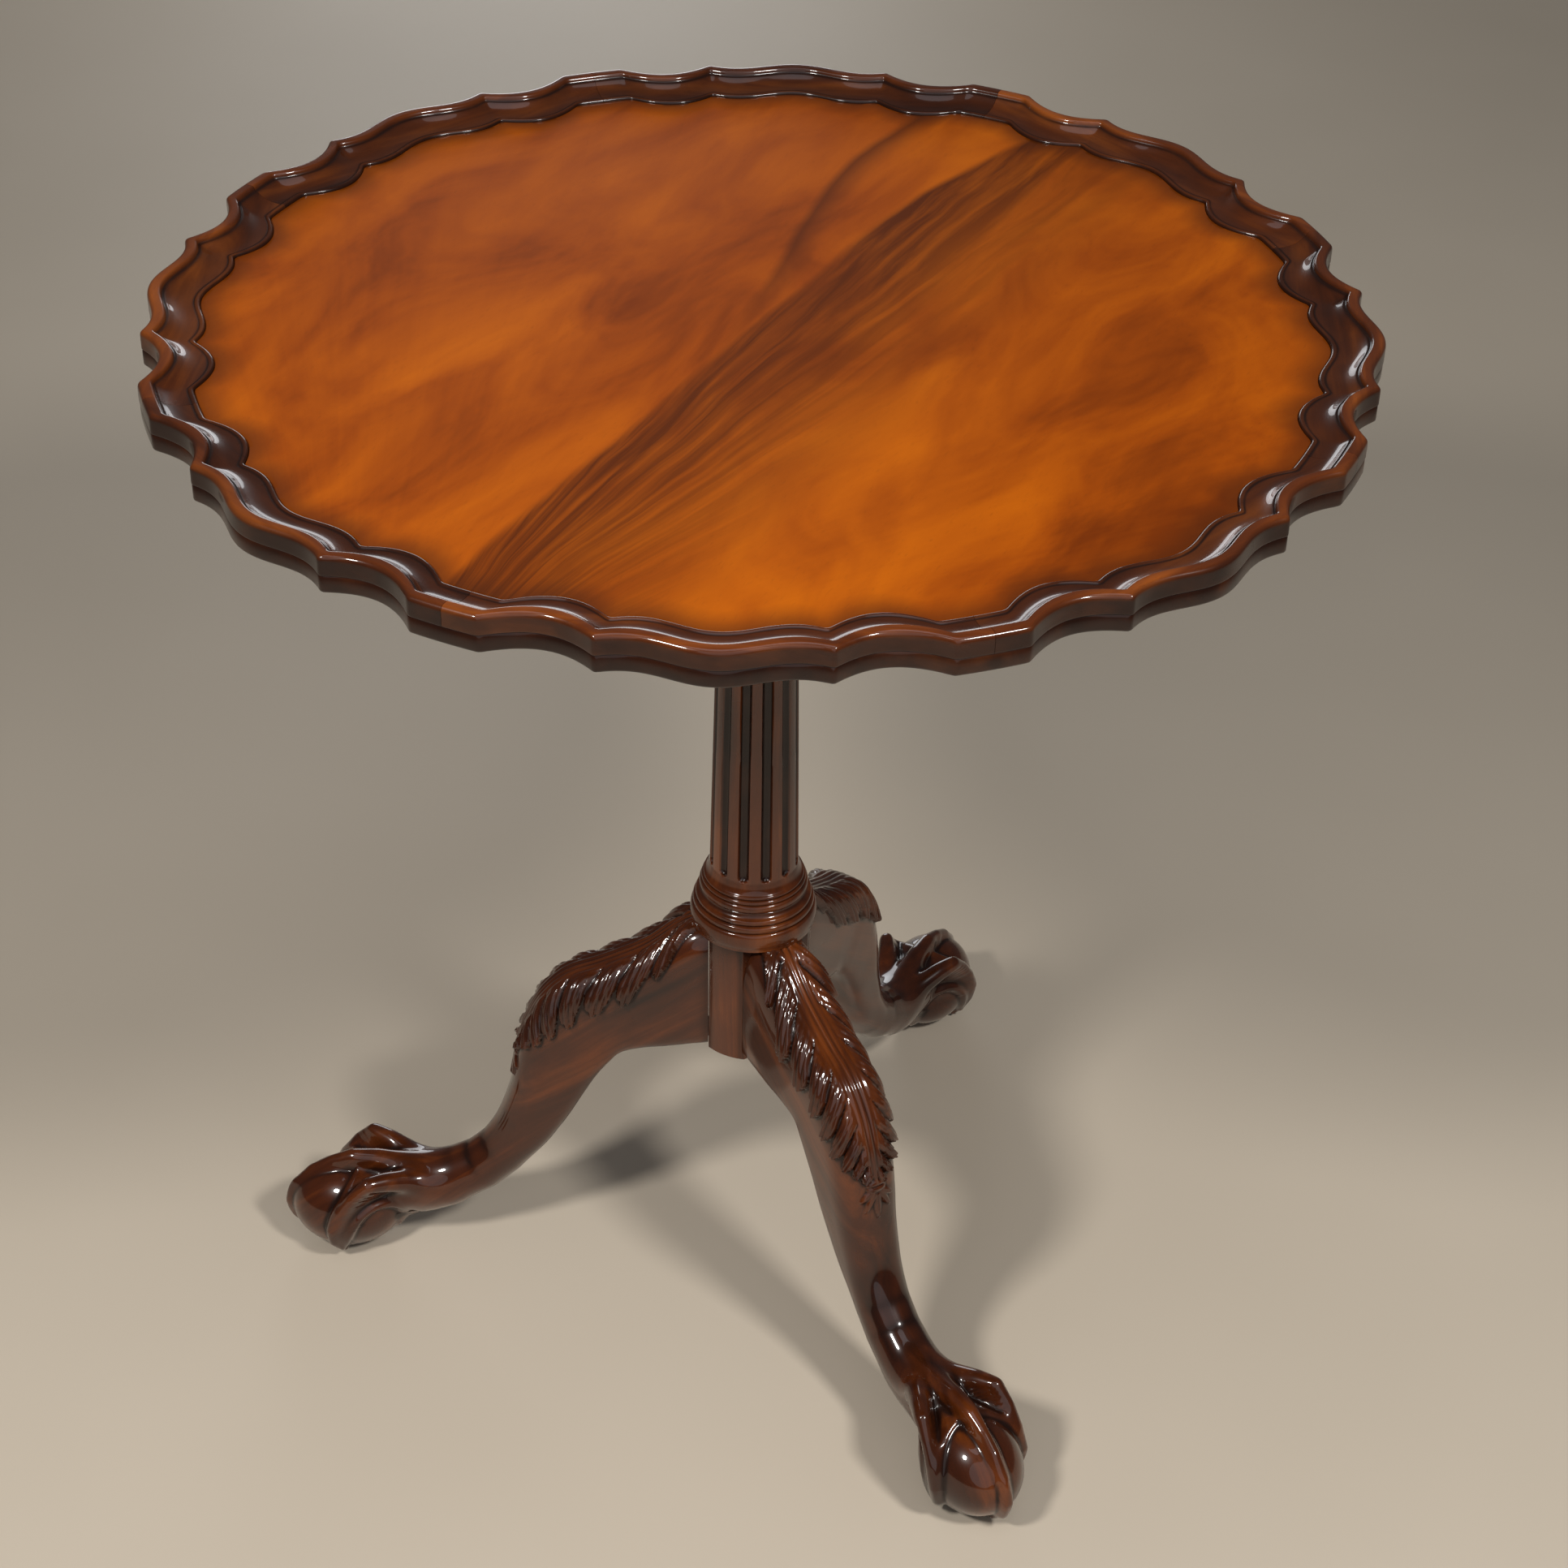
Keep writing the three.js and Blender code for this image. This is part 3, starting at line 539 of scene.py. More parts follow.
print("deepest bay", round(float(edge_curve.max()), 2), "mm")

# %% [markdown]
# ## The pie-crust rim
# The rim is glued up from eight shaped pieces, one to each repeat, and moulded after gluing: a rounded
# outer edge, a flat fillet, a steep step down into a wide cove, and a small bead against the field.
# One section curve is carried round the outline. Each piece ends a hair from its neighbour, so the
# joints show as they do on the real edge.

# %% Rim segments
RIM_BOTTOM, TABLE_TOP = (corner[2] for corner in box_mm("rim_segment_1"))
RIM_HEIGHT = TABLE_TOP - RIM_BOTTOM
JOINT_GAP = 0.22
RIM_SECTIONS = 226  # along one piece

# Section from the glue line up the edge, over the moulding and down: [in from the edge, below the top].
EDGE_SECTION = [
    [0.55, RIM_HEIGHT], [0.12, RIM_HEIGHT - 0.35], [0.0, RIM_HEIGHT - 1.2], [0.0, 8.0], [0.0, 5.0],
    [0.05, 3.0], [0.35, 1.7], [1.05, 0.7], [2.1, 0.15], [3.4, 0.0], [5.2, 0.02],
]
MOULDING_SECTION = [
    [5.2, 0.02], [6.6, 0.1], [7.5, 0.45], [8.05, 1.2], [8.35, 2.2], [8.8, 3.0], [9.5, 3.3],
    [10.4, 3.45], [12.0, 4.6], [14.2, 6.0], [17.0, 7.15], [20.5, 7.9], [24.0, 8.15], [26.2, 8.2],
    [27.0, 8.3], [27.5, 8.0], [28.2, 7.65], [29.1, 7.6], [29.9, 7.95], [30.4, 8.7], [30.55, 10.0],
]
INNER_SECTION = [[30.6, 10.5], [30.6, RIM_HEIGHT - 0.1]]


def rim_section():
    """The closed section of the moulding and the painted shade and stain on it."""
    edge = through(EDGE_SECTION, np.linspace(0, len(EDGE_SECTION) - 1, 31))
    moulding = through(MOULDING_SECTION, np.linspace(0, len(MOULDING_SECTION) - 1, 58))[1:]
    section = np.vstack([edge, moulding, INNER_SECTION])
    inset, drop = section.T
    # Painted shade: darker on the outer face, in the steep step and in the quirks. Painted light: lighter
    # on the flat fillet. The glue line is a real dark joint.
    outer_face = smooth_step(drop, 1.0, 4.0) * smooth_step(-inset, -2.6, -0.6)
    step = bell(inset, 9.2, 1.5) * smooth_step(drop, 1.2, 3.0)
    quirk = bell(inset, 26.9, 0.7) + smooth_step(inset, 29.6, 30.4)
    fillet = bell(inset, 4.5, 3.0)
    painted_shade_and_stain = 0.60 + 0.40 * outer_face + 0.50 * step + 0.5 * quirk - 0.80 * fillet
    glue_line = smooth_step(drop, RIM_HEIGHT - 0.5, RIM_HEIGHT) * (inset < 2)
    return section, np.clip(painted_shade_and_stain + 0.3 * glue_line, 0, 1)


def rim_segment(number):
    """One piece of the rim: the section's grid over its share of the angle."""
    section, painted_shade_and_stain = rim_section()
    gap = math.degrees(JOINT_GAP / 2 / TOP_RADIUS)
    start = (number - 1) * SCALLOP
    angles = np.linspace(start + gap, start + SCALLOP - gap, RIM_SECTIONS)[:, None]
    x, y = outline(angles, section[None, :, 0])
    z = np.broadcast_to(TABLE_TOP - section[None, :, 1], x.shape)
    piece = skin(f"pie_crust_{number}", np.stack([x, y, z], -1)[::-1], flat_ends=True)
    middle = math.radians(start + SCALLOP / 2 + SCALLOP_TURN)
    set_grain(piece, (-math.sin(middle), math.cos(middle), 0), (0, 0, 1), shift=0.37 * number)
    # Each board takes the stain a little differently.
    board = 0.10 * math.sin(2.4 * number)
    store(piece, "painted_shade_and_stain", np.clip(np.tile(painted_shade_and_stain, len(angles)) + board, 0, 1))
    return dress(piece, "top", "dark_mahogany", rim_lacquer, f"rim_segment_{number}")


rim = [rim_segment(number) for number in range(1, SCALLOPS + 1)]
print("rim", len(rim), "pieces of", len(rim[0].data.polygons), "faces")

# %% [markdown]
# ## The board and the field
# Under the moulding lies a board with the same scalloped edge. Its edge is lacquered, its underside is
# bare. The veneered field is let in inside the rim. Both are stacks of rings that follow the outline.

# %% Board and field
BOARD_BOTTOM, BOARD_TOP = (corner[2] for corner in box_mm("top_board"))
FIELD_TOP = box_mm("field_panel")[1][2]
ROUND_COLUMNS = 1600


def stacked_outline(levels):
    """Rings of the outline, one for each (inset, height). An inset over 60 shrinks the outline to a
    circle, because the scallops die out towards the middle."""
    angles = np.linspace(0, 360, ROUND_COLUMNS, endpoint=False)
    rings = []
    for inset, height in levels:
        x, y = outline(angles, np.full_like(angles, float(inset)))
        fade = np.clip((inset - 60) / 120, 0, 1)
        radius = np.hypot(x, y)
        even = radius * (1 - fade) + (TOP_RADIUS - inset - 4) * fade
        rings.append(np.stack([x * even / radius, y * even / radius, np.full_like(x, float(height))], -1))
    return np.array(rings)


board_levels = [(inset, BOARD_BOTTOM) for inset in (300, 200, 100, 40, 8, 2.4)]
for inset, lift in ((1.3, 0.25), (0.6, 0.9), (0.35, 1.8), (0.3, 5)):
    board_levels.append((inset, BOARD_BOTTOM + lift))
board_levels += [(0.3, BOARD_TOP - 0.6), (0.6, BOARD_TOP - 0.15)]
board_levels += [(inset, BOARD_TOP) for inset in (1.2, 30, 120, 250)]
board_rows = stacked_outline(board_levels)
board = skin("scalloped_board", board_rows)
set_grain(board, (1, 0, 0), (0, 1, 0))
# Painted shade: the board's edge below the rim is painted dark, the rest only a little.
board_edge_shade = np.array([0.95 if 0.2 < inset < 1.25 else 0.2 for inset, _ in board_levels])
store(board, "painted_shade_and_stain", np.repeat(board_edge_shade, ROUND_COLUMNS))
dress(board, "top", "dark_mahogany", rim_lacquer, "top_board")
board.data.materials.append(bare_wood)
face_normals = np.zeros(len(board.data.polygons) * 3)
board.data.polygons.foreach_get("normal", face_normals)
under = face_normals.reshape(-1, 3)[:, 2] < -0.95
board.data.polygons.foreach_set("material_index", under.astype(np.int32))

FIELD_INSET = RIM_WIDTH - 0.25
field_levels = [(inset, BOARD_TOP + 0.1) for inset in (300, 150, FIELD_INSET + 0.1)]
field_levels += [(FIELD_INSET, BOARD_TOP + 0.6), (FIELD_INSET, FIELD_TOP - 0.15)]
field_levels.append((FIELD_INSET + 0.2, FIELD_TOP))
field_levels += [(inset, FIELD_TOP) for inset in (34, 38, 44, 52, 64, 90, 130, 190, 260, 320)]
field = skin("veneered_field", stacked_outline(field_levels))
# Painted shade next to the moulding, fading out over 26 millimetres.
shade = np.array([1 - smooth_step(inset, RIM_WIDTH - 2, RIM_WIDTH + 24) for inset, _ in field_levels])
store(field, "painted_shade_and_stain", np.repeat(shade, ROUND_COLUMNS))
dress(field, "top", "field_mahogany", veneer, "field_panel")
print("board", len(board.data.polygons), "field", len(field.data.polygons), "faces")

# %% [markdown]
# ## The fluted column
# The column is turned and then fluted. Its section is a line of heights and radii with half-round beads
# in two rings above the hub; twelve flutes with round ends are cut into the tapering shaft; and three
# flats on the hub take the shoulders of the legs. On a lathe grid a flute is simply less radius.

# %% Column
HUB_TOP = 289.0
HUB_RADIUS = 38.5
LEG_HALF = 25.0  # half the leg's thickness where it meets the hub
HUB_FLAT = math.sqrt(HUB_RADIUS**2 - LEG_HALF**2)
COLUMN_SIDES = 480
FLUTES = 12
FLUTE_HALF = 3.6
FLUTE_DEPTH = 3.1
LEG_TURNS = {"leg_back": 90.0, "leg_left": 210.0, "leg_right": 330.0}
hub_bottom = box_mm("column")[0][2]
block_bottom, block_top = (corner[2] for corner in box_mm("tilt_block"))
shaft_head = block_bottom - 34.0


def bead(height, half, radius, bulge, count=9):
    """A half-round bead: radius + bulge cos a, height + half sin a, for a from -90 to 90 degrees."""
    a = np.linspace(-np.pi / 2, np.pi / 2, count)
    return [[radius + bulge * math.cos(t), height + half * math.sin(t)] for t in a]


def column_profile():
    """Radii and heights of the turned column from the bottom up."""
    hub = [[HUB_RADIUS - 1.0, hub_bottom], [HUB_RADIUS, hub_bottom + 1.0]]
    hub += [[HUB_RADIUS, z] for z in np.linspace(hub_bottom + 4, HUB_TOP - 0.4, 14)]
    rings = [[HUB_RADIUS + 1.6, HUB_TOP], [40.9, HUB_TOP + 0.5]]
    rings += bead(297.2, 6.2, 40.0, 2.0, 13)[2:] + bead(306.0, 2.4, 38.9, 1.3) + bead(310.9, 2.0, 37.2, 1.2)
    rings += [[36.2, 313.4], [35.2, 314.4], [34.6, 315.6], [34.5, 316.6]]
    rings += bead(319.9, 2.9, 34.1, 1.8, 11) + bead(324.4, 1.4, 33.5, 1.0, 7)
    rings += bead(327.5, 1.3, 32.2, 1.0, 7)
    flare = [[31.6, 329.4], [30.6, 331.4], [30.0, 333.6], [29.45, 336.2]]
    low = np.concatenate([np.arange(337.0, 347.0, 0.45), np.arange(348.0, shaft_head - 18.0, 7.0)])
    high = np.arange(shaft_head - 17.0, shaft_head - 3.0, 0.5)
    taper = (29.3 - 23.6) / (shaft_head - 334.0)
    shaft = [[29.3 - taper * (z - 334.0), z] for z in np.concatenate([low, high])]
    cap = [[24.0, shaft_head + 1.0]] + bead(shaft_head + 5.6, 2.9, 25.0, 2.4)
    cap += bead(shaft_head + 10.2, 1.3, 24.4, 1.0, 7)
    for radius, lift in ((24.6, 13), (25.4, 17), (27.2, 21), (29.8, 25), (32.0, 27.4)):
        cap.append([radius, shaft_head + lift])
    cap += bead(shaft_head + 30.4, 2.6, 32.6, 1.4) + [[33.4, block_bottom - 0.4]]
    tenon = [[19.0, block_bottom - 0.3], [19.0, block_bottom + 4]]
    tenon += [[19.0, block_top - 0.9], [18.4, block_top - 0.35]]
    return np.array(hub + rings + flare + shaft + cap + tenon, float)


def fluted_column():
    """The lathe grid with flutes and flats. A flute's depth is an ellipse across it, and its ends are
    round because the distance past the end counts as distance from its middle."""
    profile = column_profile()
    turn = np.linspace(0, 2 * np.pi, COLUMN_SIDES, endpoint=False)[None, :]
    radius = np.broadcast_to(profile[:, :1], (len(profile), COLUMN_SIDES)).copy()
    height = profile[:, 1:]
    pitch = 2 * np.pi / FLUTES
    across = turn % pitch - pitch / 2
    low_end, high_end = 337.4 + FLUTE_HALF, shaft_head - 4.5 - FLUTE_HALF
    past = np.maximum(low_end - height, 0) + np.maximum(height - high_end, 0)
    away = np.hypot(across * radius, past) / FLUTE_HALF
    inside = np.clip(1 - away**2, 0, 1)
    radius -= FLUTE_DEPTH * np.sqrt(inside)
    hub_edge_shade = 0.0
    for degrees in LEG_TURNS.values():
        off = (turn - math.radians(degrees) + np.pi) % (2 * np.pi) - np.pi
        flat = HUB_FLAT / np.maximum(np.cos(off), 0.2)
        radius = np.where(height < HUB_TOP - 0.2, np.minimum(radius, flat), radius)
        # Painted shade along the flats' edges, where the legs meet the hub.
        hub_edge_shade = hub_edge_shade + bell(np.abs(off), 0.74, 0.07) * (height < HUB_TOP + 1)
    upright = np.broadcast_to(height, radius.shape)
    rows = np.stack([radius * np.cos(turn), radius * np.sin(turn), upright], -1)
    # Painted shade: dark inside the flutes and in hollows. The turned rings are a little darker overall.
    hollow = np.clip((blurred(radius, 6) - radius) / 0.8, 0, 1)
    rings = smooth_step(height, 289, 292) * smooth_step(-height, -334, -328)
    painted_shade_and_stain = 0.10 + 0.95 * smooth_step(inside, 0.02, 0.3) + 0.7 * hollow + 0.28 * rings + 0.5 * hub_edge_shade
    return rows, np.clip(painted_shade_and_stain, 0, 1)


column_rows, column_shade = fluted_column()
column = skin("fluted_column", column_rows)
set_grain(column, (0, 0, 1), (1, 0, 0))
store(column, "painted_shade_and_stain", column_shade.ravel())
dress(column, "base", "dark_mahogany", rim_lacquer, "column")
print("column", column_rows.shape[:2], "points")

# %% [markdown]
# ## The carved legs
# A cabriole leg is sawn from a plank in an S, rounded below the knee and carved: an acanthus leaf on the
# knee and a ball gripped by talons at the foot. Sculpting by hand is the usual way. Here the leg is one
# grid of rings. Down to the ankle a ring is a superellipse, boxy at the hub and round at the ankle, and
# the leaf is a height above it. From the ankle on, each point is found by marching in along its own ray
# to a solid built from soft joined balls and fingers, which is how claws grow out of the leg smoothly.

# %% The leg's stations and rings
FOOT_REACH = 284.0
BALL_CENTRE = 31.5
LEAF_START = 42.0  # how far out the leaf's top lies
FOOT_RINGS, DOME_RINGS = 111, 50


def under(r):
    """The height of the leg's lower edge near the hub: a line that falls slowly outwards."""
    return 194.0 - 0.135 * (r - HUB_FLAT)


# Stations down the leg: [upper r, upper z, lower r, lower z, half width, squareness].
LEG_STATIONS = np.array([
    [29.6, 288.7, 29.6, under(29.6), LEG_HALF, 1], [45, 284.2, 42, under(42), LEG_HALF, 0.95],
    [70, 264.2, 58, under(58), 24.5, 0.9], [100, 249, 74, under(74), 23.5, 0.85],
    [124, 239, 88, 183, 22.5, 0.8], [140, 223, 97, 173.5, 23, 0.75],
    [150, 204, 104.5, 163, 23, 0.7], [157, 185, 111, 151, 22.5, 0.6],
    [162, 163, 117.5, 138, 22, 0.5], [166, 143, 124, 124.5, 21, 0.4], [172, 123, 132, 110, 20, 0.3],
    [180, 104, 143, 91, 19, 0.2], [190, 88.5, 157, 72.5, 18.5, 0.1], [203, 78, 173, 54, 18.5, 0],
    [219, 72, 194, 38, 19.5, 0],
])
ANKLE_BLEND = (10.0, 12.8)  # stations between which the marched surface takes over
LEAF_END = 214.0  # millimetres down the ridge
RING_COLUMNS = 212
TOP_SHARE = 0.62  # of the columns, on the upper half of the ring


def leg_rows():
    """Station numbers of the rows: close together on the leaf, wider on the ankle."""
    fine = np.linspace(0, len(LEG_STATIONS) - 1, 1500)
    ridge = through(LEG_STATIONS[:, :2], fine)
    length = np.concatenate([[0], np.cumsum(np.hypot(*np.diff(ridge, axis=0).T))])
    places = np.concatenate([np.arange(0, LEAF_END, 0.82), np.linspace(LEAF_END, length[-1], 42)])
    return np.interp(places, length, fine), places


def ring_frames():
    """For each row its ring's middle, half height, half width, squareness and the slant of its plane."""
    stations, places = leg_rows()
    table = through(LEG_STATIONS, stations)
    upper, lower = table[:, :2], table[:, 2:4]
    middle = (upper + lower) / 2
    rise = upper - lower
    half = np.hypot(*rise.T) / 2
    slant = np.arctan2(rise[:, 1], rise[:, 0])
    return stations, places, middle, half, table[:, 4], np.clip(table[:, 5], 0, 1), slant


column_share = np.arange(RING_COLUMNS) / RING_COLUMNS
alpha = np.where(column_share < TOP_SHARE, np.pi * column_share / TOP_SHARE,
                 np.pi + np.pi * (column_share - TOP_SHARE) / (1 - TOP_SHARE))[None, :]


def superellipse(half_width, half_height, square):
    """The ring's radius by angle: (|cos a / w|^n + |sin a / h|^n)^(-1/n), with n from 2, round, up to 3.4
    above and 8 below where the leg is square."""
    top = np.sin(alpha) > 0
    n = 2 + np.where(top, 1.4, 6.0) * square[:, None]
    across = np.abs(np.cos(alpha) / half_width[:, None]) ** n
    upward = np.abs(np.sin(alpha) / half_height[:, None]) ** n
    return (across + upward) ** (-1 / n)


print("leg rows down to the ankle", len(leg_rows()[1]))


# %% [markdown]
# ### The acanthus leaf
# The leaf is a height over two distances: s down the ridge of the knee and w across from it. Veins leave
# the midrib at a slant and curve outwards, so each point is traced back to where its vein left the rib;
# that number tells the lobe it lies in. Lobes are domed with valleys between them, fluted, curled up at
# the edge and cut by small drilled eyes. A bud and five petals hang below the tip.

# %% Leaf heights
LOBE_ROOTS = np.array([-86, -56, -27, 1, 28, 54, 78, 100, 120, 137, 151, 163, 173, 182], float)
LEAF_PLACES = [0, 10, 24, 50, 80, 110, 136, 154, 166, 172]
LEAF_WIDTHS = [16, 20, 28, 36, 38, 36, 29, 19, 9, 4]
BUD_PLACE = 171.0


def leaf_height(s, w):
    """Height of the leaf in millimetres above the bare knee."""
    a = np.abs(w)
    half = np.interp(s, LEAF_PLACES, LEAF_WIDTHS)
    root = s - (1.75 * a - 0.014 * a**2)
    # The two sides are staggered by half a lobe, as carvers set them out.
    root = root + np.where(w > 0, 6.0, 0.0) * smooth_step(a, 0, 8)
    lobe = np.interp(root, LOBE_ROOTS, np.arange(len(LOBE_ROOTS)))
    f = lobe - np.floor(lobe)
    wave = np.sin(np.pi * f)
    out = a / half
    reed = np.abs(np.sin(4 * np.pi * f))
    reach = half * (0.50 + 0.50 * wave**0.6) + 2.0 * reed**0.7 * half / 36
    mask = smooth_step(reach - a, 0.0, 1.3) * smooth_step(BUD_PLACE + 2 - s, 0, 5)
    body = 2.3 + 1.5 * out**2
    domes = (4.0 * wave**0.5 - 3.2) * smooth_step(out, 0.12, 0.42)
    reeds = (1.6 * reed**0.8 - 0.95) * smooth_step(out, 0.16, 0.5)
    lap = 1.8 * (f - 0.5) * smooth_step(out, 0.15, 0.5)
    strands = 0.55 * np.cos(2 * np.pi * a / 4.2) * np.clip(1 - a / 15, 0, 1)
    gap = np.minimum(f, 1 - f) * 18
    eyes = 3.6 * bell(gap, 0, 1.7) * bell(a, 0.50 * half, 2.6)
    leaf = mask * np.maximum(body + domes + reeds + lap + strands - eyes, 0.15)
    return np.maximum(leaf, bud_height(s, w))


def bud_height(s, w):
    """A round bud with five petals below it, each a ridge that is widest in its middle."""
    bud = 3.0 * np.sqrt(np.clip(1 - ((s - BUD_PLACE) / 5.5) ** 2 - (w / 7.5) ** 2, 0, 1))
    height = bud - 1.2 * bell(s, BUD_PLACE, 1.0) * (bud > 0)
    for degrees in (-58, -30, 0, 30, 58):
        t = math.radians(degrees)
        ahead = (s - BUD_PLACE - 2) * math.cos(t) + w * math.sin(t)
        aside = -(s - BUD_PLACE - 2) * math.sin(t) + w * math.cos(t)
        length = 25 - 0.16 * abs(degrees)
        share = np.clip(ahead / length, 0, 1)
        width = 2.9 * np.sin(np.pi * share**0.8) + 0.2
        ends = smooth_step(share, 0.02, 0.2) * smooth_step(1 - share, 0, 0.15)
        petal = 2.3 * np.clip(1 - (aside / width) ** 2, 0, 1) * ends
        height = np.maximum(height, petal - 0.7 * bell(aside, 0, 0.5) * (petal > 0.3))
    return height


leaf_sample = leaf_height(np.linspace(0, 200, 201)[:, None], np.linspace(-38, 38, 153)[None, :])
print("leaf stands", round(float(leaf_sample.max()), 2), "mm high")


# %% [markdown]
# ### The ball and claw
# The foot is a distance function: the distance from any point to chains of balls (the ankle and the
# talons), to the ball, and to the web of skin between the talons, whose arched edge stands proud of the
# ball. Chains are joined softly, by a minimum that fills the corner between two solids.

# %% Foot solid
# Chains of [outward, sideways, up, radius].
ANKLE_CHAIN = [
    [128, 0, 141, 21], [146, 0, 120.5, 20], [161.5, 0, 98, 19.2], [173.5, 0, 80.5, 18.6],
    [188.5, 0, 66, 18.8], [207, 0, 56, 19.6], [226, 0, 51.5, 20.5], [244, 0, 49, 21], [258, 0, 47, 19],
]
MIDDLE_TALON = [
    [224, 0, 60, 8.6], [243, 0, 65, 8.2], [262, 0, 70, 7.2], [279, 0, 71, 6.3], [294.5, 0, 66, 5.3],
    [308, 0, 58.5, 4.9], [318.8, 0, 46.6, 4.7], [324, 0, 31, 4.3], [321, 0, 17, 3.5], [311.5, 0, 5, 2.2],
]
SIDE_TALON = [
    [222, 8, 55, 9], [240, 14.5, 62, 8.2], [255, 22, 67.5, 7.2], [266.5, 28, 69.5, 6.3],
    [277.5, 31, 59.5, 5.3], [286.5, 32.5, 47, 4.9], [292.8, 33, 33, 4.5], [293.5, 30.5, 20, 3.8],
    [289, 25, 9, 2.8], [286, 22, 4, 1.8],
]
HEEL_CHAIN = [[214, 0, 46, 14], [230, 0, 36, 12], [240, 0, 27, 8]]
BALL_AXES = np.array([40.0, 32.0, 33.0])
WEB_THICKNESS = 3.0
# Openings in the web, mirrored: [azimuth, half width, spring, top], all in degrees round the ball.
OPENINGS = [[40, 33, 34, 88], [127, 31, -22, 21]]


def soft_union(a, b, k):
    """The minimum of two distances, with the corner filled over a width of k."""
    overlap = np.maximum(k - np.abs(a - b), 0) / k
    return np.minimum(a, b) - overlap**2 * k / 4


def chain_distance(points, chain):
    """Distance to a chain of balls joined by cones, taken straight between neighbours."""
    nearest = np.full(len(points), 1e9)
    for start, end in zip(np.array(chain[:-1], float), np.array(chain[1:], float)):
        line = end[:3] - start[:3]
        share = np.clip((points - start[:3]) @ line / (line @ line), 0, 1)
        gap = np.linalg.norm(points - start[:3] - share[:, None] * line, axis=1)
        nearest = np.minimum(nearest, gap - start[3] - share * (end[3] - start[3]))
    return nearest


def web_share(azimuth, elevation):
    """1 where skin covers the ball and 0 in the arched openings, with a raised lip at their edge."""
    cover = np.ones_like(azimuth)
    lip = np.zeros_like(azimuth)
    for middle, half_width, spring, top in OPENINGS:
        across = (np.abs(azimuth) - middle) * np.cos(np.radians(elevation)) / half_width
        above = np.maximum(elevation - spring, 0) / (top - spring)
        away = np.hypot(across, above)
        cover = np.minimum(cover, smooth_step(away, 0.95, 1.04))
        lip = lip + bell(away, 1.11, 0.07)
    return cover, lip


def foot_distance(points):
    """Distance from the foot's solid, cut flat by the floor."""
    mirrored = points * [1, -1, 1]
    side = np.where(points[:, 1:2] > 0, points, mirrored)
    from_ball = points - [FOOT_REACH, 0, BALL_CENTRE]
    even = from_ball / BALL_AXES
    share = np.linalg.norm(even, axis=1)
    away = share * (share - 1) / np.maximum(np.linalg.norm(even / BALL_AXES, axis=1), 1e-6)
    azimuth = np.degrees(np.arctan2(even[:, 1], even[:, 0]))
    elevation = np.degrees(np.arcsin(np.clip(even[:, 2] / np.maximum(share, 1e-6), -1, 1)))
    cover, lip = web_share(azimuth, elevation)
    web = away - WEB_THICKNESS * cover - 0.8 * lip
    flesh = soft_union(chain_distance(points, ANKLE_CHAIN), chain_distance(points, HEEL_CHAIN), 10.0)
    talons = soft_union(chain_distance(points, MIDDLE_TALON), chain_distance(side, SIDE_TALON), 4.0)
    flesh = soft_union(flesh, talons, 6.0)
    solid = soft_union(flesh, web, 0.6 + 4.5 * cover)
    return np.maximum(solid, -points[:, 2])


ball_front = np.array([[FOOT_REACH + BALL_AXES[0], 0.0, BALL_CENTRE]])
print("the front talon covers the ball by", round(-float(foot_distance(ball_front)[0]), 1), "mm")

# %% [markdown]
# ### From a distance to a surface
# A distance tells how far a point may move before it can meet the solid, so each ray starts outside and
# steps in by most of that, again and again. Marching cubes or a remesh would also make a surface, but
# their faces don't line up with the leg's rows.


# %% March
def march(origins, directions, start=78.0, steps=60):
    """For each ray, the distance out to the foot's surface, found by stepping in from outside by the
    distance that is left."""
    shape = origins.shape[:-1]
    origins, directions = origins.reshape(-1, 3), directions.reshape(-1, 3)
    t = np.full(len(origins), start)
    for _ in range(steps):
        gap = foot_distance(origins + t[:, None] * directions)
        t = np.maximum(t - 0.8 * gap, 0.5)
    return t.reshape(shape)


# %% [markdown]
# ### One leg, three times
# The knee's rings and the foot's rays make one grid, so the carving has no seam. Painted shade lies where
# a point is behind the mean of its neighbours, and along the leg's root at the hub. The finished leg is
# turned to its three places.


# %% The whole leg
def foot_frames():
    """Rings past the ankle: their middles run to the ball's, their planes turn level, and then a dome of
    rays closes the foot underneath."""
    frames = ring_frames()
    start, slant = frames[2][-1], frames[6][-1]
    share = np.linspace(0, 1, FOOT_RINGS + 1)[1:]
    middle = start + share[:, None] * (np.array([FOOT_REACH, BALL_CENTRE]) - start)
    turned = slant * (1 - share)
    dip = np.concatenate([np.zeros(FOOT_RINGS), np.linspace(0, np.pi / 2, DOME_RINGS + 2)[1:-1]])
    middle = np.vstack([middle, np.tile(middle[-1], (DOME_RINGS, 1))])
    return middle, np.concatenate([turned, np.zeros(DOME_RINGS)]), dip


def ray_directions(slant, dip):
    """Ray directions in the ring's plane, bent down by dip on the dome."""
    slant, dip = slant[:, None], dip[:, None]
    up = np.stack([np.cos(slant), np.zeros_like(slant), np.sin(slant)], -1)
    aside = np.array([0.0, 1.0, 0.0])
    level = np.cos(alpha)[..., None] * aside + np.sin(alpha)[..., None] * up
    return np.cos(dip)[..., None] * level + np.sin(dip)[..., None] * np.array([0, 0, -1.0])


def ray_origins(middle, shape):
    """The rays' starts: each ring's middle, set upright in the leg's plane."""
    flat = np.stack([middle[:, 0], 0 * middle[:, 0], middle[:, 1]], -1)
    return np.broadcast_to(flat[:, None], shape)


def outward_normals(rows):
    """Unit normals of a grid, from its steps round a ring crossed with those along the rows."""
    normal = np.cross(np.gradient(rows, axis=1), np.gradient(rows, axis=0))
    return normal / np.maximum(np.linalg.norm(normal, axis=2, keepdims=True), 1e-9)


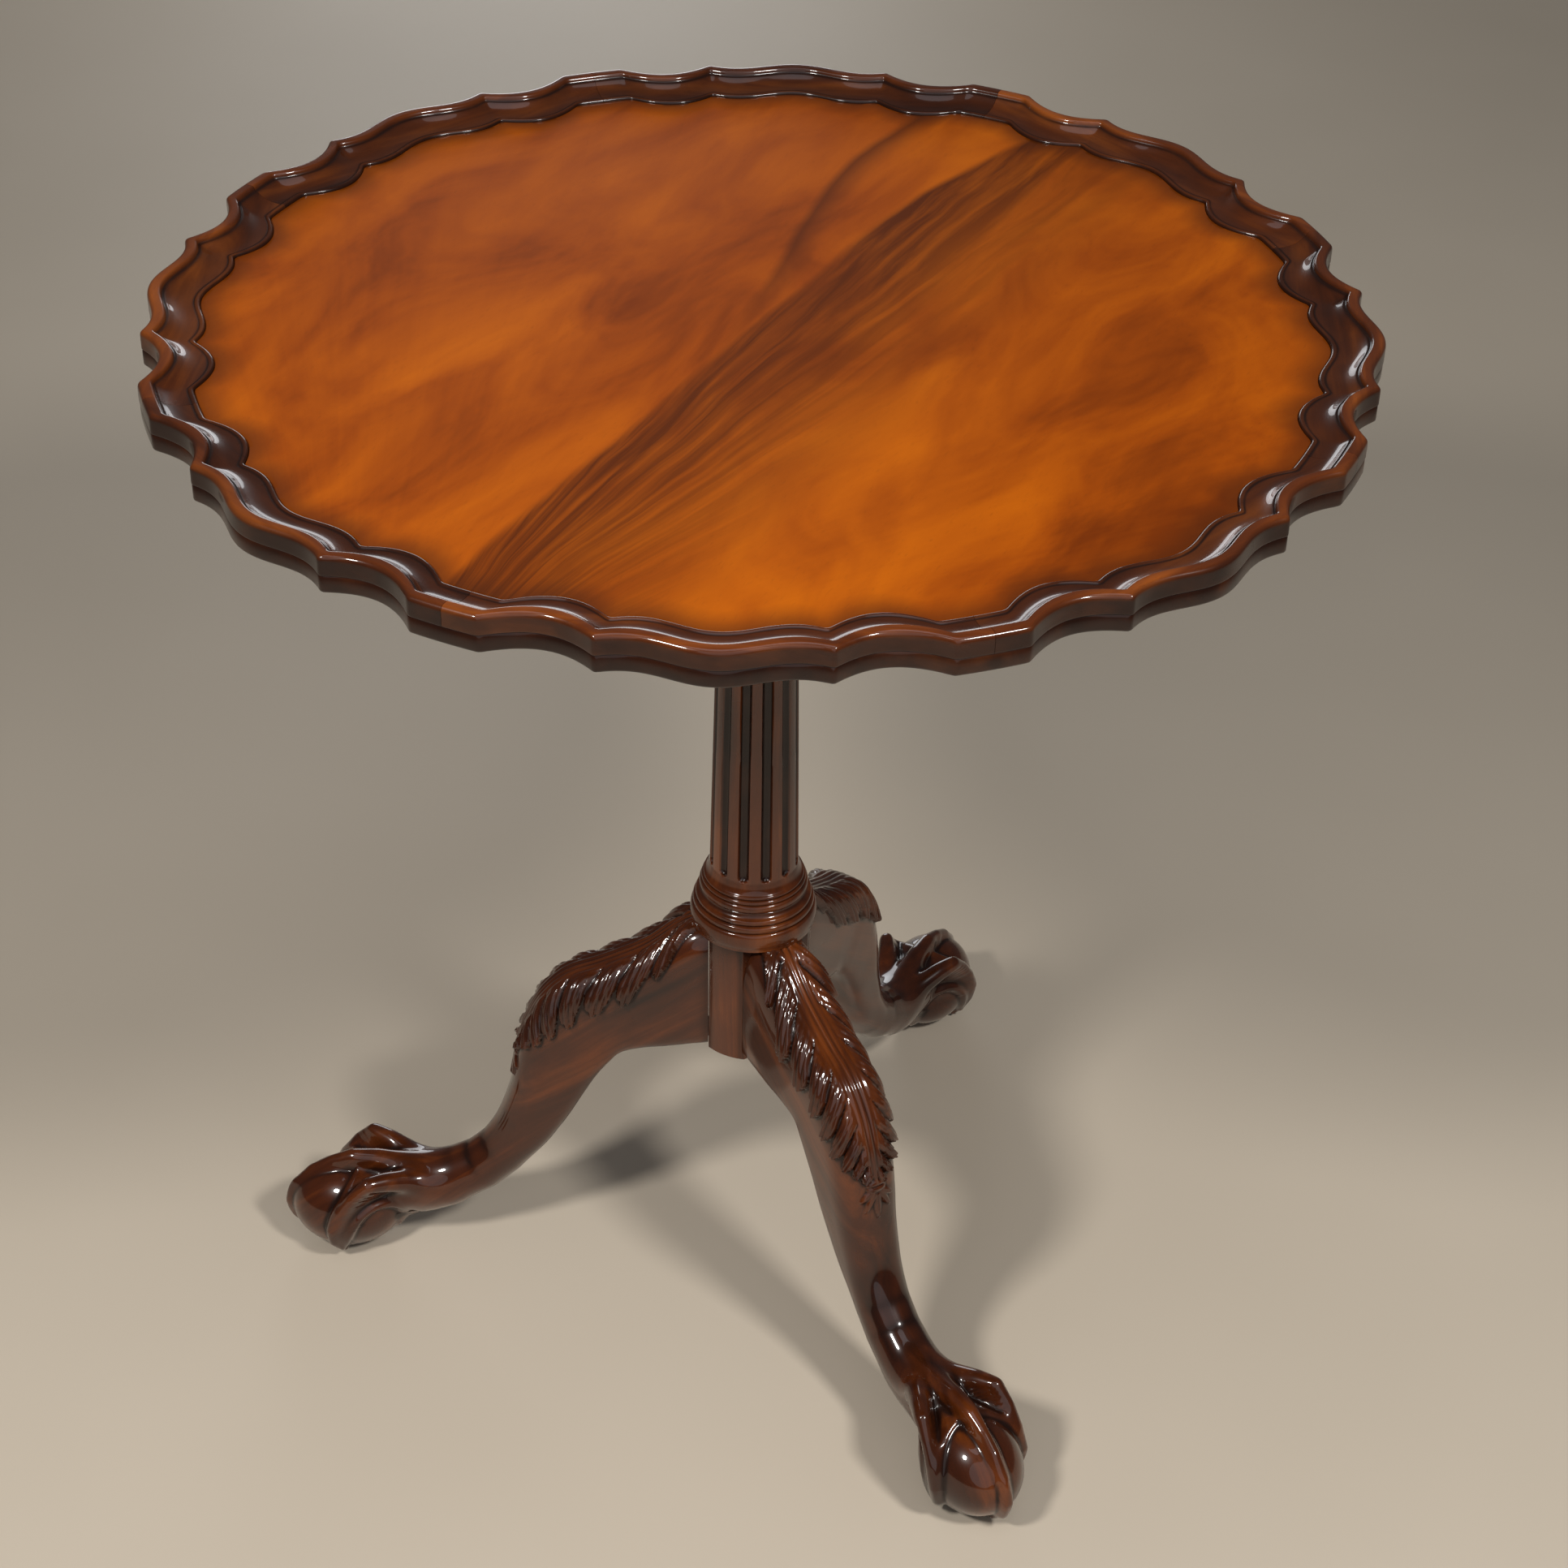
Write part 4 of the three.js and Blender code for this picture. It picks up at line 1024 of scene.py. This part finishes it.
def cabriole_leg():
    """The leg's grid, pointing along +X, and the painted shade on it."""
    stations, places, middle, half, width, square, slant = ring_frames()
    directions = ray_directions(slant, np.zeros_like(slant))
    origins = ray_origins(middle, directions.shape)
    radius = superellipse(width, half, square)
    marched = stations > ANKLE_BLEND[0]
    found = march(origins[marched], directions[marched])
    share = smooth_step(stations[marched], *ANKLE_BLEND)[:, None]
    radius[marched] = radius[marched] * (1 - share) + found * share
    points = origins + radius[..., None] * directions
    # Distances across from the ridge, measured round the ring.
    hops = np.linalg.norm(np.diff(points, axis=1), axis=2)
    around = np.concatenate([np.zeros((len(points), 1)), np.cumsum(hops, 1)], 1)
    ridge = np.argmin(np.abs(alpha[0] - np.pi / 2))
    across = around - around[:, ridge:ridge + 1]
    start = np.interp(LEAF_START, through(LEG_STATIONS[:, :1], stations)[:, 0], places)
    height = leaf_height((places - start)[:, None], across)
    height = np.where(np.sin(alpha) > -0.4, height, 0)
    points = points + height[..., None] * outward_normals(points)
    foot_middle, foot_slant, dip = foot_frames()
    directions = ray_directions(foot_slant, dip)
    origins = ray_origins(foot_middle, directions.shape)
    found = march(origins, directions)
    join = len(points) - 4
    rows = np.vstack([points, origins + found[..., None] * directions])
    rows[join:] = blurred(rows, 2)[join:]
    # A point lies in a hollow when the mean of its neighbours stands out in front of it; painted shade
    # darkens it there.
    hollow = ((blurred(rows, 16) - rows) * outward_normals(rows)).sum(2)
    depth = smooth_step(hollow, 0.04, 0.75)
    # Painted shade along the leg's root, where it meets the hub.
    root = bell(rows[..., 0], HUB_FLAT, 5.0)
    return rows, np.clip(0.06 + 1.05 * depth + 0.55 * root, 0, 1)


leg_grid, leg_shade = cabriole_leg()
for name, degrees in LEG_TURNS.items():
    t = math.radians(degrees)
    turn_round = np.array([[math.cos(t), math.sin(t), 0], [-math.sin(t), math.cos(t), 0], [0, 0, 1]])
    turned = leg_grid @ turn_round
    piece = skin("carved_" + name, turned, crease=60.0)
    outward = (math.cos(t) * 0.8, math.sin(t) * 0.8, -0.6)
    set_grain(piece, outward, (-math.sin(t), math.cos(t), 0), shift=0.3 * t)
    store(piece, "painted_shade_and_stain", leg_shade.ravel())
    dress(piece, "base", "dark_mahogany", leg_lacquer, name)
print("leg", leg_grid.shape[:2], "lowest", round(float(leg_grid[..., 2].min()), 2), "mm")

# %% [markdown]
# ## The block, cleats and fittings
# The block, cleats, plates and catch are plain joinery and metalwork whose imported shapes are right. Their
# arrises need easing: a copy of each is welded, and a Bevel modifier rounds its edges.


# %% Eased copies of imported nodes
def eased(node, name, width, segments=2):
    """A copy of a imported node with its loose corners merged, its flat faces joined and its arrises
    rounded by width millimetres."""
    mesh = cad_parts[node].data.copy()
    mesh.name = name
    mesh.materials.clear()
    work = bmesh.new()
    work.from_mesh(mesh)
    bmesh.ops.remove_doubles(work, verts=work.verts, dist=1e-6)
    bmesh.ops.dissolve_limit(work, angle_limit=math.radians(1), verts=work.verts, edges=work.edges)
    work.to_mesh(mesh)
    work.free()
    for attribute in [a.name for a in mesh.attributes if a.name in ("custom_normal", "sharp_face")]:
        mesh.attributes.remove(mesh.attributes[attribute])
    mesh.shade_smooth()
    mesh.set_sharp_from_angle(angle=math.radians(30))
    piece = placed(name, mesh)
    bevel = piece.modifiers.new("eased", "BEVEL")
    bevel.width = width * MM
    bevel.segments = segments
    bevel.limit_method = "ANGLE"
    bevel.angle_limit = math.radians(35)
    bevel.harden_normals = True
    return piece


block = eased("tilt_block", "tilting_block", 1.2, 3)
set_grain(block, (1, 0, 0), (0, 1, 0), shift=0.2)
dress(block, "base", "plain_wood", bare_wood, "tilt_block")
for side in ("left", "right"):
    cleat = eased(f"cleat_{side}", f"bearer_{side}", 1.0, 3)
    set_grain(cleat, (0, 1, 0), (1, 0, 0), shift=0.9 if side == "left" else 1.7)
    dress(cleat, "top", "plain_wood", bare_wood, f"cleat_{side}")
for number in (1, 2):
    wedge = eased(f"tenon_wedge_{number}", f"wedge_{number}", 0.25)
    set_grain(wedge, (0, 0, 1), (0, 1, 0), shift=0.1 * number)
    dress(wedge, "base", "plain_wood", wedge_wood, f"tenon_wedge_{number}")
dress(eased("brace_plate", "spider_plate", 0.5), "base", "black_iron", iron, "brace_plate")
dress(eased("strike_plate", "keeper_plate", 0.3), "base", "brass", brass, "strike_plate")
dress(eased("latch_case", "catch_case", 0.35), "top", "brass", brass, "latch_case")
dress(eased("latch_bolt", "catch_slide", 0.4), "catch_bolt", "brass", brass, "latch_bolt")

# %% [markdown]
# ### Turned fittings
# Pins, the catch's knob and the screws are round about an axis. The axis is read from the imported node:
# it is the direction in which its points spread the most, and a screw's head is its wider end.


# %% Screws, pins, knob and spring
def axis_of(node):
    """The node's wide end, its axis away from that end, its length and its greatest radius, in mm."""
    points = points_of(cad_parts[node]) / MM
    points = np.unique(points.round(3), axis=0)
    middle = (points.min(0) + points.max(0)) / 2
    centred = points - points.mean(0)
    axis = np.linalg.svd(centred, full_matrices=False)[2][0]
    along = (points - middle) @ axis
    radius = np.linalg.norm(points - middle - along[:, None] * axis, axis=1)
    if along[np.argmax(radius)] > 0:
        axis, along = -axis, -along
    return middle + along.min() * axis, axis, np.ptp(along), radius.max()


def lathe_about(name, profile, origin, axis, columns=48, face=None):
    """Turns a profile of (radius, distance) about an axis; face may lift points by x, y and radius."""
    axis = axis / np.linalg.norm(axis)
    aside = np.cross(axis, [0.0, 0.0, 1.0] if abs(axis[2]) < 0.9 else [1.0, 0.0, 0.0])
    aside /= np.linalg.norm(aside)
    other = np.cross(axis, aside)
    profile = np.asarray(profile, float)
    turn = np.linspace(0, 2 * np.pi, columns, endpoint=False)[None, :]
    x, y = profile[:, :1] * np.cos(turn), profile[:, :1] * np.sin(turn)
    h = np.broadcast_to(profile[:, 1:], x.shape)
    if face is not None:
        h = h + face(x, y, h)
    rows = origin + x[..., None] * aside + y[..., None] * other + h[..., None] * axis
    return skin(name, rows, crease=32.0)


def slotted_screw(node, body, slot, material):
    """A countersunk screw: a face with a straight slot, a cone, a threaded shank and a point."""
    origin, axis, length, head = axis_of(node)
    shank = head * 0.5
    slot_half = head * 0.13

    def slot_cut(x, y, h):
        """Sinks the face by a quarter of the head's radius where x is in the slot."""
        return head * 0.24 * smooth_step(slot_half - np.abs(x), -0.12, 0.12) * (h < 0.2)

    face = [[r * head, 0.05] for r in np.linspace(0.03, 0.93, 12)]
    neck = [[head, 0.22], [shank, head * 0.6]]
    turns = range(int((length - head * 2.2) / 0.8))
    thread = [[shank - 0.22 * (i % 2), head * 0.6 + 0.9 + 0.8 * i] for i in turns]
    profile = face + neck + thread + [[shank * 0.3, length - 0.6], [0.05, length]]
    piece = lathe_about("slotted_" + node, profile, origin, axis, 72, slot_cut)
    return dress(piece, body, slot, material, node)


screw_kinds = [("cleat", 6, "top", "black_iron", iron), ("brace", 6, "base", "black_iron", iron)]
screw_kinds += [("latch", 4, "top", "brass", brass), ("strike", 2, "base", "brass", brass)]
for kind, count, body, slot, material in screw_kinds:
    for number in range(1, count + 1):
        slotted_screw(f"{kind}_screw_{number}", body, slot, material)
for side in ("left", "right"):
    origin, axis, length, radius = axis_of(f"pivot_pin_{side}")
    profile = [[0.2, 0], [radius - 0.8, 0], [radius, 0.8], [radius, 4], [radius, length - 0.8]]
    profile += [[radius - 0.8, length], [0.2, length]]
    pin = lathe_about(f"pin_{side}", profile, origin, axis)
    dress(pin, "base", "black_iron", iron, f"pivot_pin_{side}")

knob_low, knob_high = box_mm("latch_knob")
knob_centre = np.array([*((knob_low + knob_high) / 2)[:2], knob_low[2]])
knob_radius = (knob_high[0] - knob_low[0]) / 2
knob_length = knob_high[2] - knob_low[2]
knob_points = [[0.2, 0.05], [2.2, 0.1], [3.9, 0.9], [5.3, 2.5], [6.0, 4.6], [5.6, 6.6], [4.4, 8.2]]
knob_points += [[3.0, 9.2], [2.6, 10.2]]
knob_curve = through(knob_points, np.linspace(0, len(knob_points) - 1, 40)) * [knob_radius / 6.0, 1]
knob_profile = np.vstack([knob_curve, [[2.6, knob_length - 0.1], [0.2, knob_length]]])
knob = lathe_about("catch_knob", knob_profile, knob_centre, np.array([0, 0, 1.0]), 64)
dress(knob, "catch_bolt", "brass", brass, "latch_knob")


def coil_spring():
    """A round wire carried along a helix: at each step a ring of 12 points square to the wire."""
    low, high = box_mm("latch_spring")
    wire, turns = 0.5, 5
    coil = (high[0] - low[0]) / 2 - wire
    t = np.linspace(0, 1, 241)[:, None]
    turn = 2 * np.pi * turns * t
    length = high[1] - low[1] - 2 * wire
    centre = (low + high) / 2
    line = np.hstack([coil * np.cos(turn), low[1] + wire + length * t, coil * np.sin(turn)])
    line = line + [centre[0], 0, centre[2]]
    ahead = np.gradient(line, axis=0)
    ahead /= np.linalg.norm(ahead, axis=1, keepdims=True)
    out = np.hstack([np.cos(turn), 0 * t, np.sin(turn)])
    other = np.cross(ahead, out)
    ring = np.linspace(0, 2 * np.pi, 12, endpoint=False)[None, :, None]
    rows = line[:, None] + wire * (np.cos(ring) * out[:, None] + np.sin(ring) * other[:, None])
    return skin("bolt_spring", rows)


dress(coil_spring(), "top", "spring_steel", steel, "latch_spring")

# %% [markdown]
# ## Room, lamps and camera
# A plain pale floor takes the shadow. Lacquer mirrors whatever is bright, so the room is nearly dark and
# two small lamps, left and right of the viewer and above, give each rounded edge a pair of clean
# highlights. A broad lamp overhead and a low one in front soften the shadows, and a weak one behind
# lifts the far edge.


# %% Floor and lamps
def pale_floor():
    """A wide plane under the feet with a plain, slightly warm finish."""
    mesh = bpy.data.meshes.new("floor")
    size = 14.0
    square = [(-size, -size, 0), (size, -size, 0), (size, size, 0), (-size, size, 0)]
    mesh.from_pydata(square, [], [(0, 1, 2, 3)])
    floor = placed("floor", mesh)
    material, tree, shader = new_material("pale_floor", Roughness=0.55, Specular_IOR_Level=0.3)
    place = add(tree, "TexCoord").outputs["Object"]
    shades = [(0.3, (0.53, 0.455, 0.36)), (0.7, (0.58, 0.50, 0.40))]
    feed(tree, shader, Base_Color=ramp(tree, noise(tree, place, 1.3, 3.0), shades))
    mesh.materials.append(material)


def soft_lamp(name, azimuth, elevation, distance, size, watts, colour=(1, 1, 1)):
    """A round area lamp aimed at the table, at an angle round it from the front."""
    a, e = math.radians(azimuth), math.radians(elevation)
    back = Vector((math.sin(a) * math.cos(e), -math.cos(a) * math.cos(e), math.sin(e)))
    data = bpy.data.lights.new(name, "AREA")
    data.shape, data.size, data.energy, data.color = "DISK", size, watts, colour
    lamp = placed(name, data)
    lamp.location = Vector((0, 0, 0.45)) + back * distance
    lamp.rotation_mode = "QUATERNION"
    lamp.rotation_quaternion = (-back).to_track_quat("-Z", "Y")


pale_floor()
soft_lamp("lamp_left", -14, 43, 2.3, 0.36, 34, (1.0, 0.98, 0.95))
soft_lamp("lamp_ceiling", 30, 84, 2.9, 2.0, 12, (0.88, 0.93, 1.0))
soft_lamp("lamp_low", 34, 24, 3.2, 3.4, 17, (0.95, 0.97, 1.0))
soft_lamp("lamp_back", 215, 7, 3.4, 1.3, 12, (0.95, 0.97, 1.0))
soft_lamp("lamp_right", 72, 45, 2.3, 0.36, 31, (1.0, 0.99, 0.97))
world = bpy.data.worlds.new("room")
world.use_nodes = True
background = world.node_tree.nodes["Background"]
background.inputs["Color"].default_value = (0.80, 0.82, 0.86, 1)
background.inputs["Strength"].default_value = 0.07
bpy.context.scene.world = world
bpy.context.scene.view_settings.view_transform = "Standard"
print("lamps", len(bpy.data.lights))

# %% [markdown]
# ## The viewpoint
# The camera stands at a grown person's eye height and looks down on the top. Three angles aim it, and a
# long lens keeps the feet from shrinking, as they would close up with a short one.


# %% Camera
def camera_at(position, azimuth, pitch, yaw, roll, lens):
    """A camera turned by azimuth about the vertical, then by yaw to the side, pitch down and roll."""
    pitch, yaw, roll = (math.radians(v) for v in (pitch, yaw, roll))
    level = math.cos(pitch)
    forward = Vector((math.sin(yaw) * level, math.cos(yaw) * level, -math.sin(pitch)))
    right = Vector((math.cos(yaw), -math.sin(yaw), 0))
    up = right.cross(forward)
    side = math.cos(roll) * right + math.sin(roll) * up
    top = -math.sin(roll) * right + math.cos(roll) * up
    turn = Matrix.Rotation(math.radians(azimuth), 3, "Z")
    axes = Matrix((turn @ side, turn @ top, turn @ -forward)).transposed()
    data = bpy.data.cameras.new("camera")
    data.lens, data.sensor_width = lens, 36.0
    data.clip_start, data.clip_end = 0.05, 50.0
    camera = placed("camera", data)
    camera.matrix_world = Matrix.Translation(position) @ axes.to_4x4()
    bpy.context.scene.camera = camera


camera_at(Vector((0.7796, -1.4211, 1.5727)), 28.75, 35.956, 0.6593, 1.2736, 71.24)
print("lens", round(bpy.context.scene.camera.data.lens, 2), "mm")
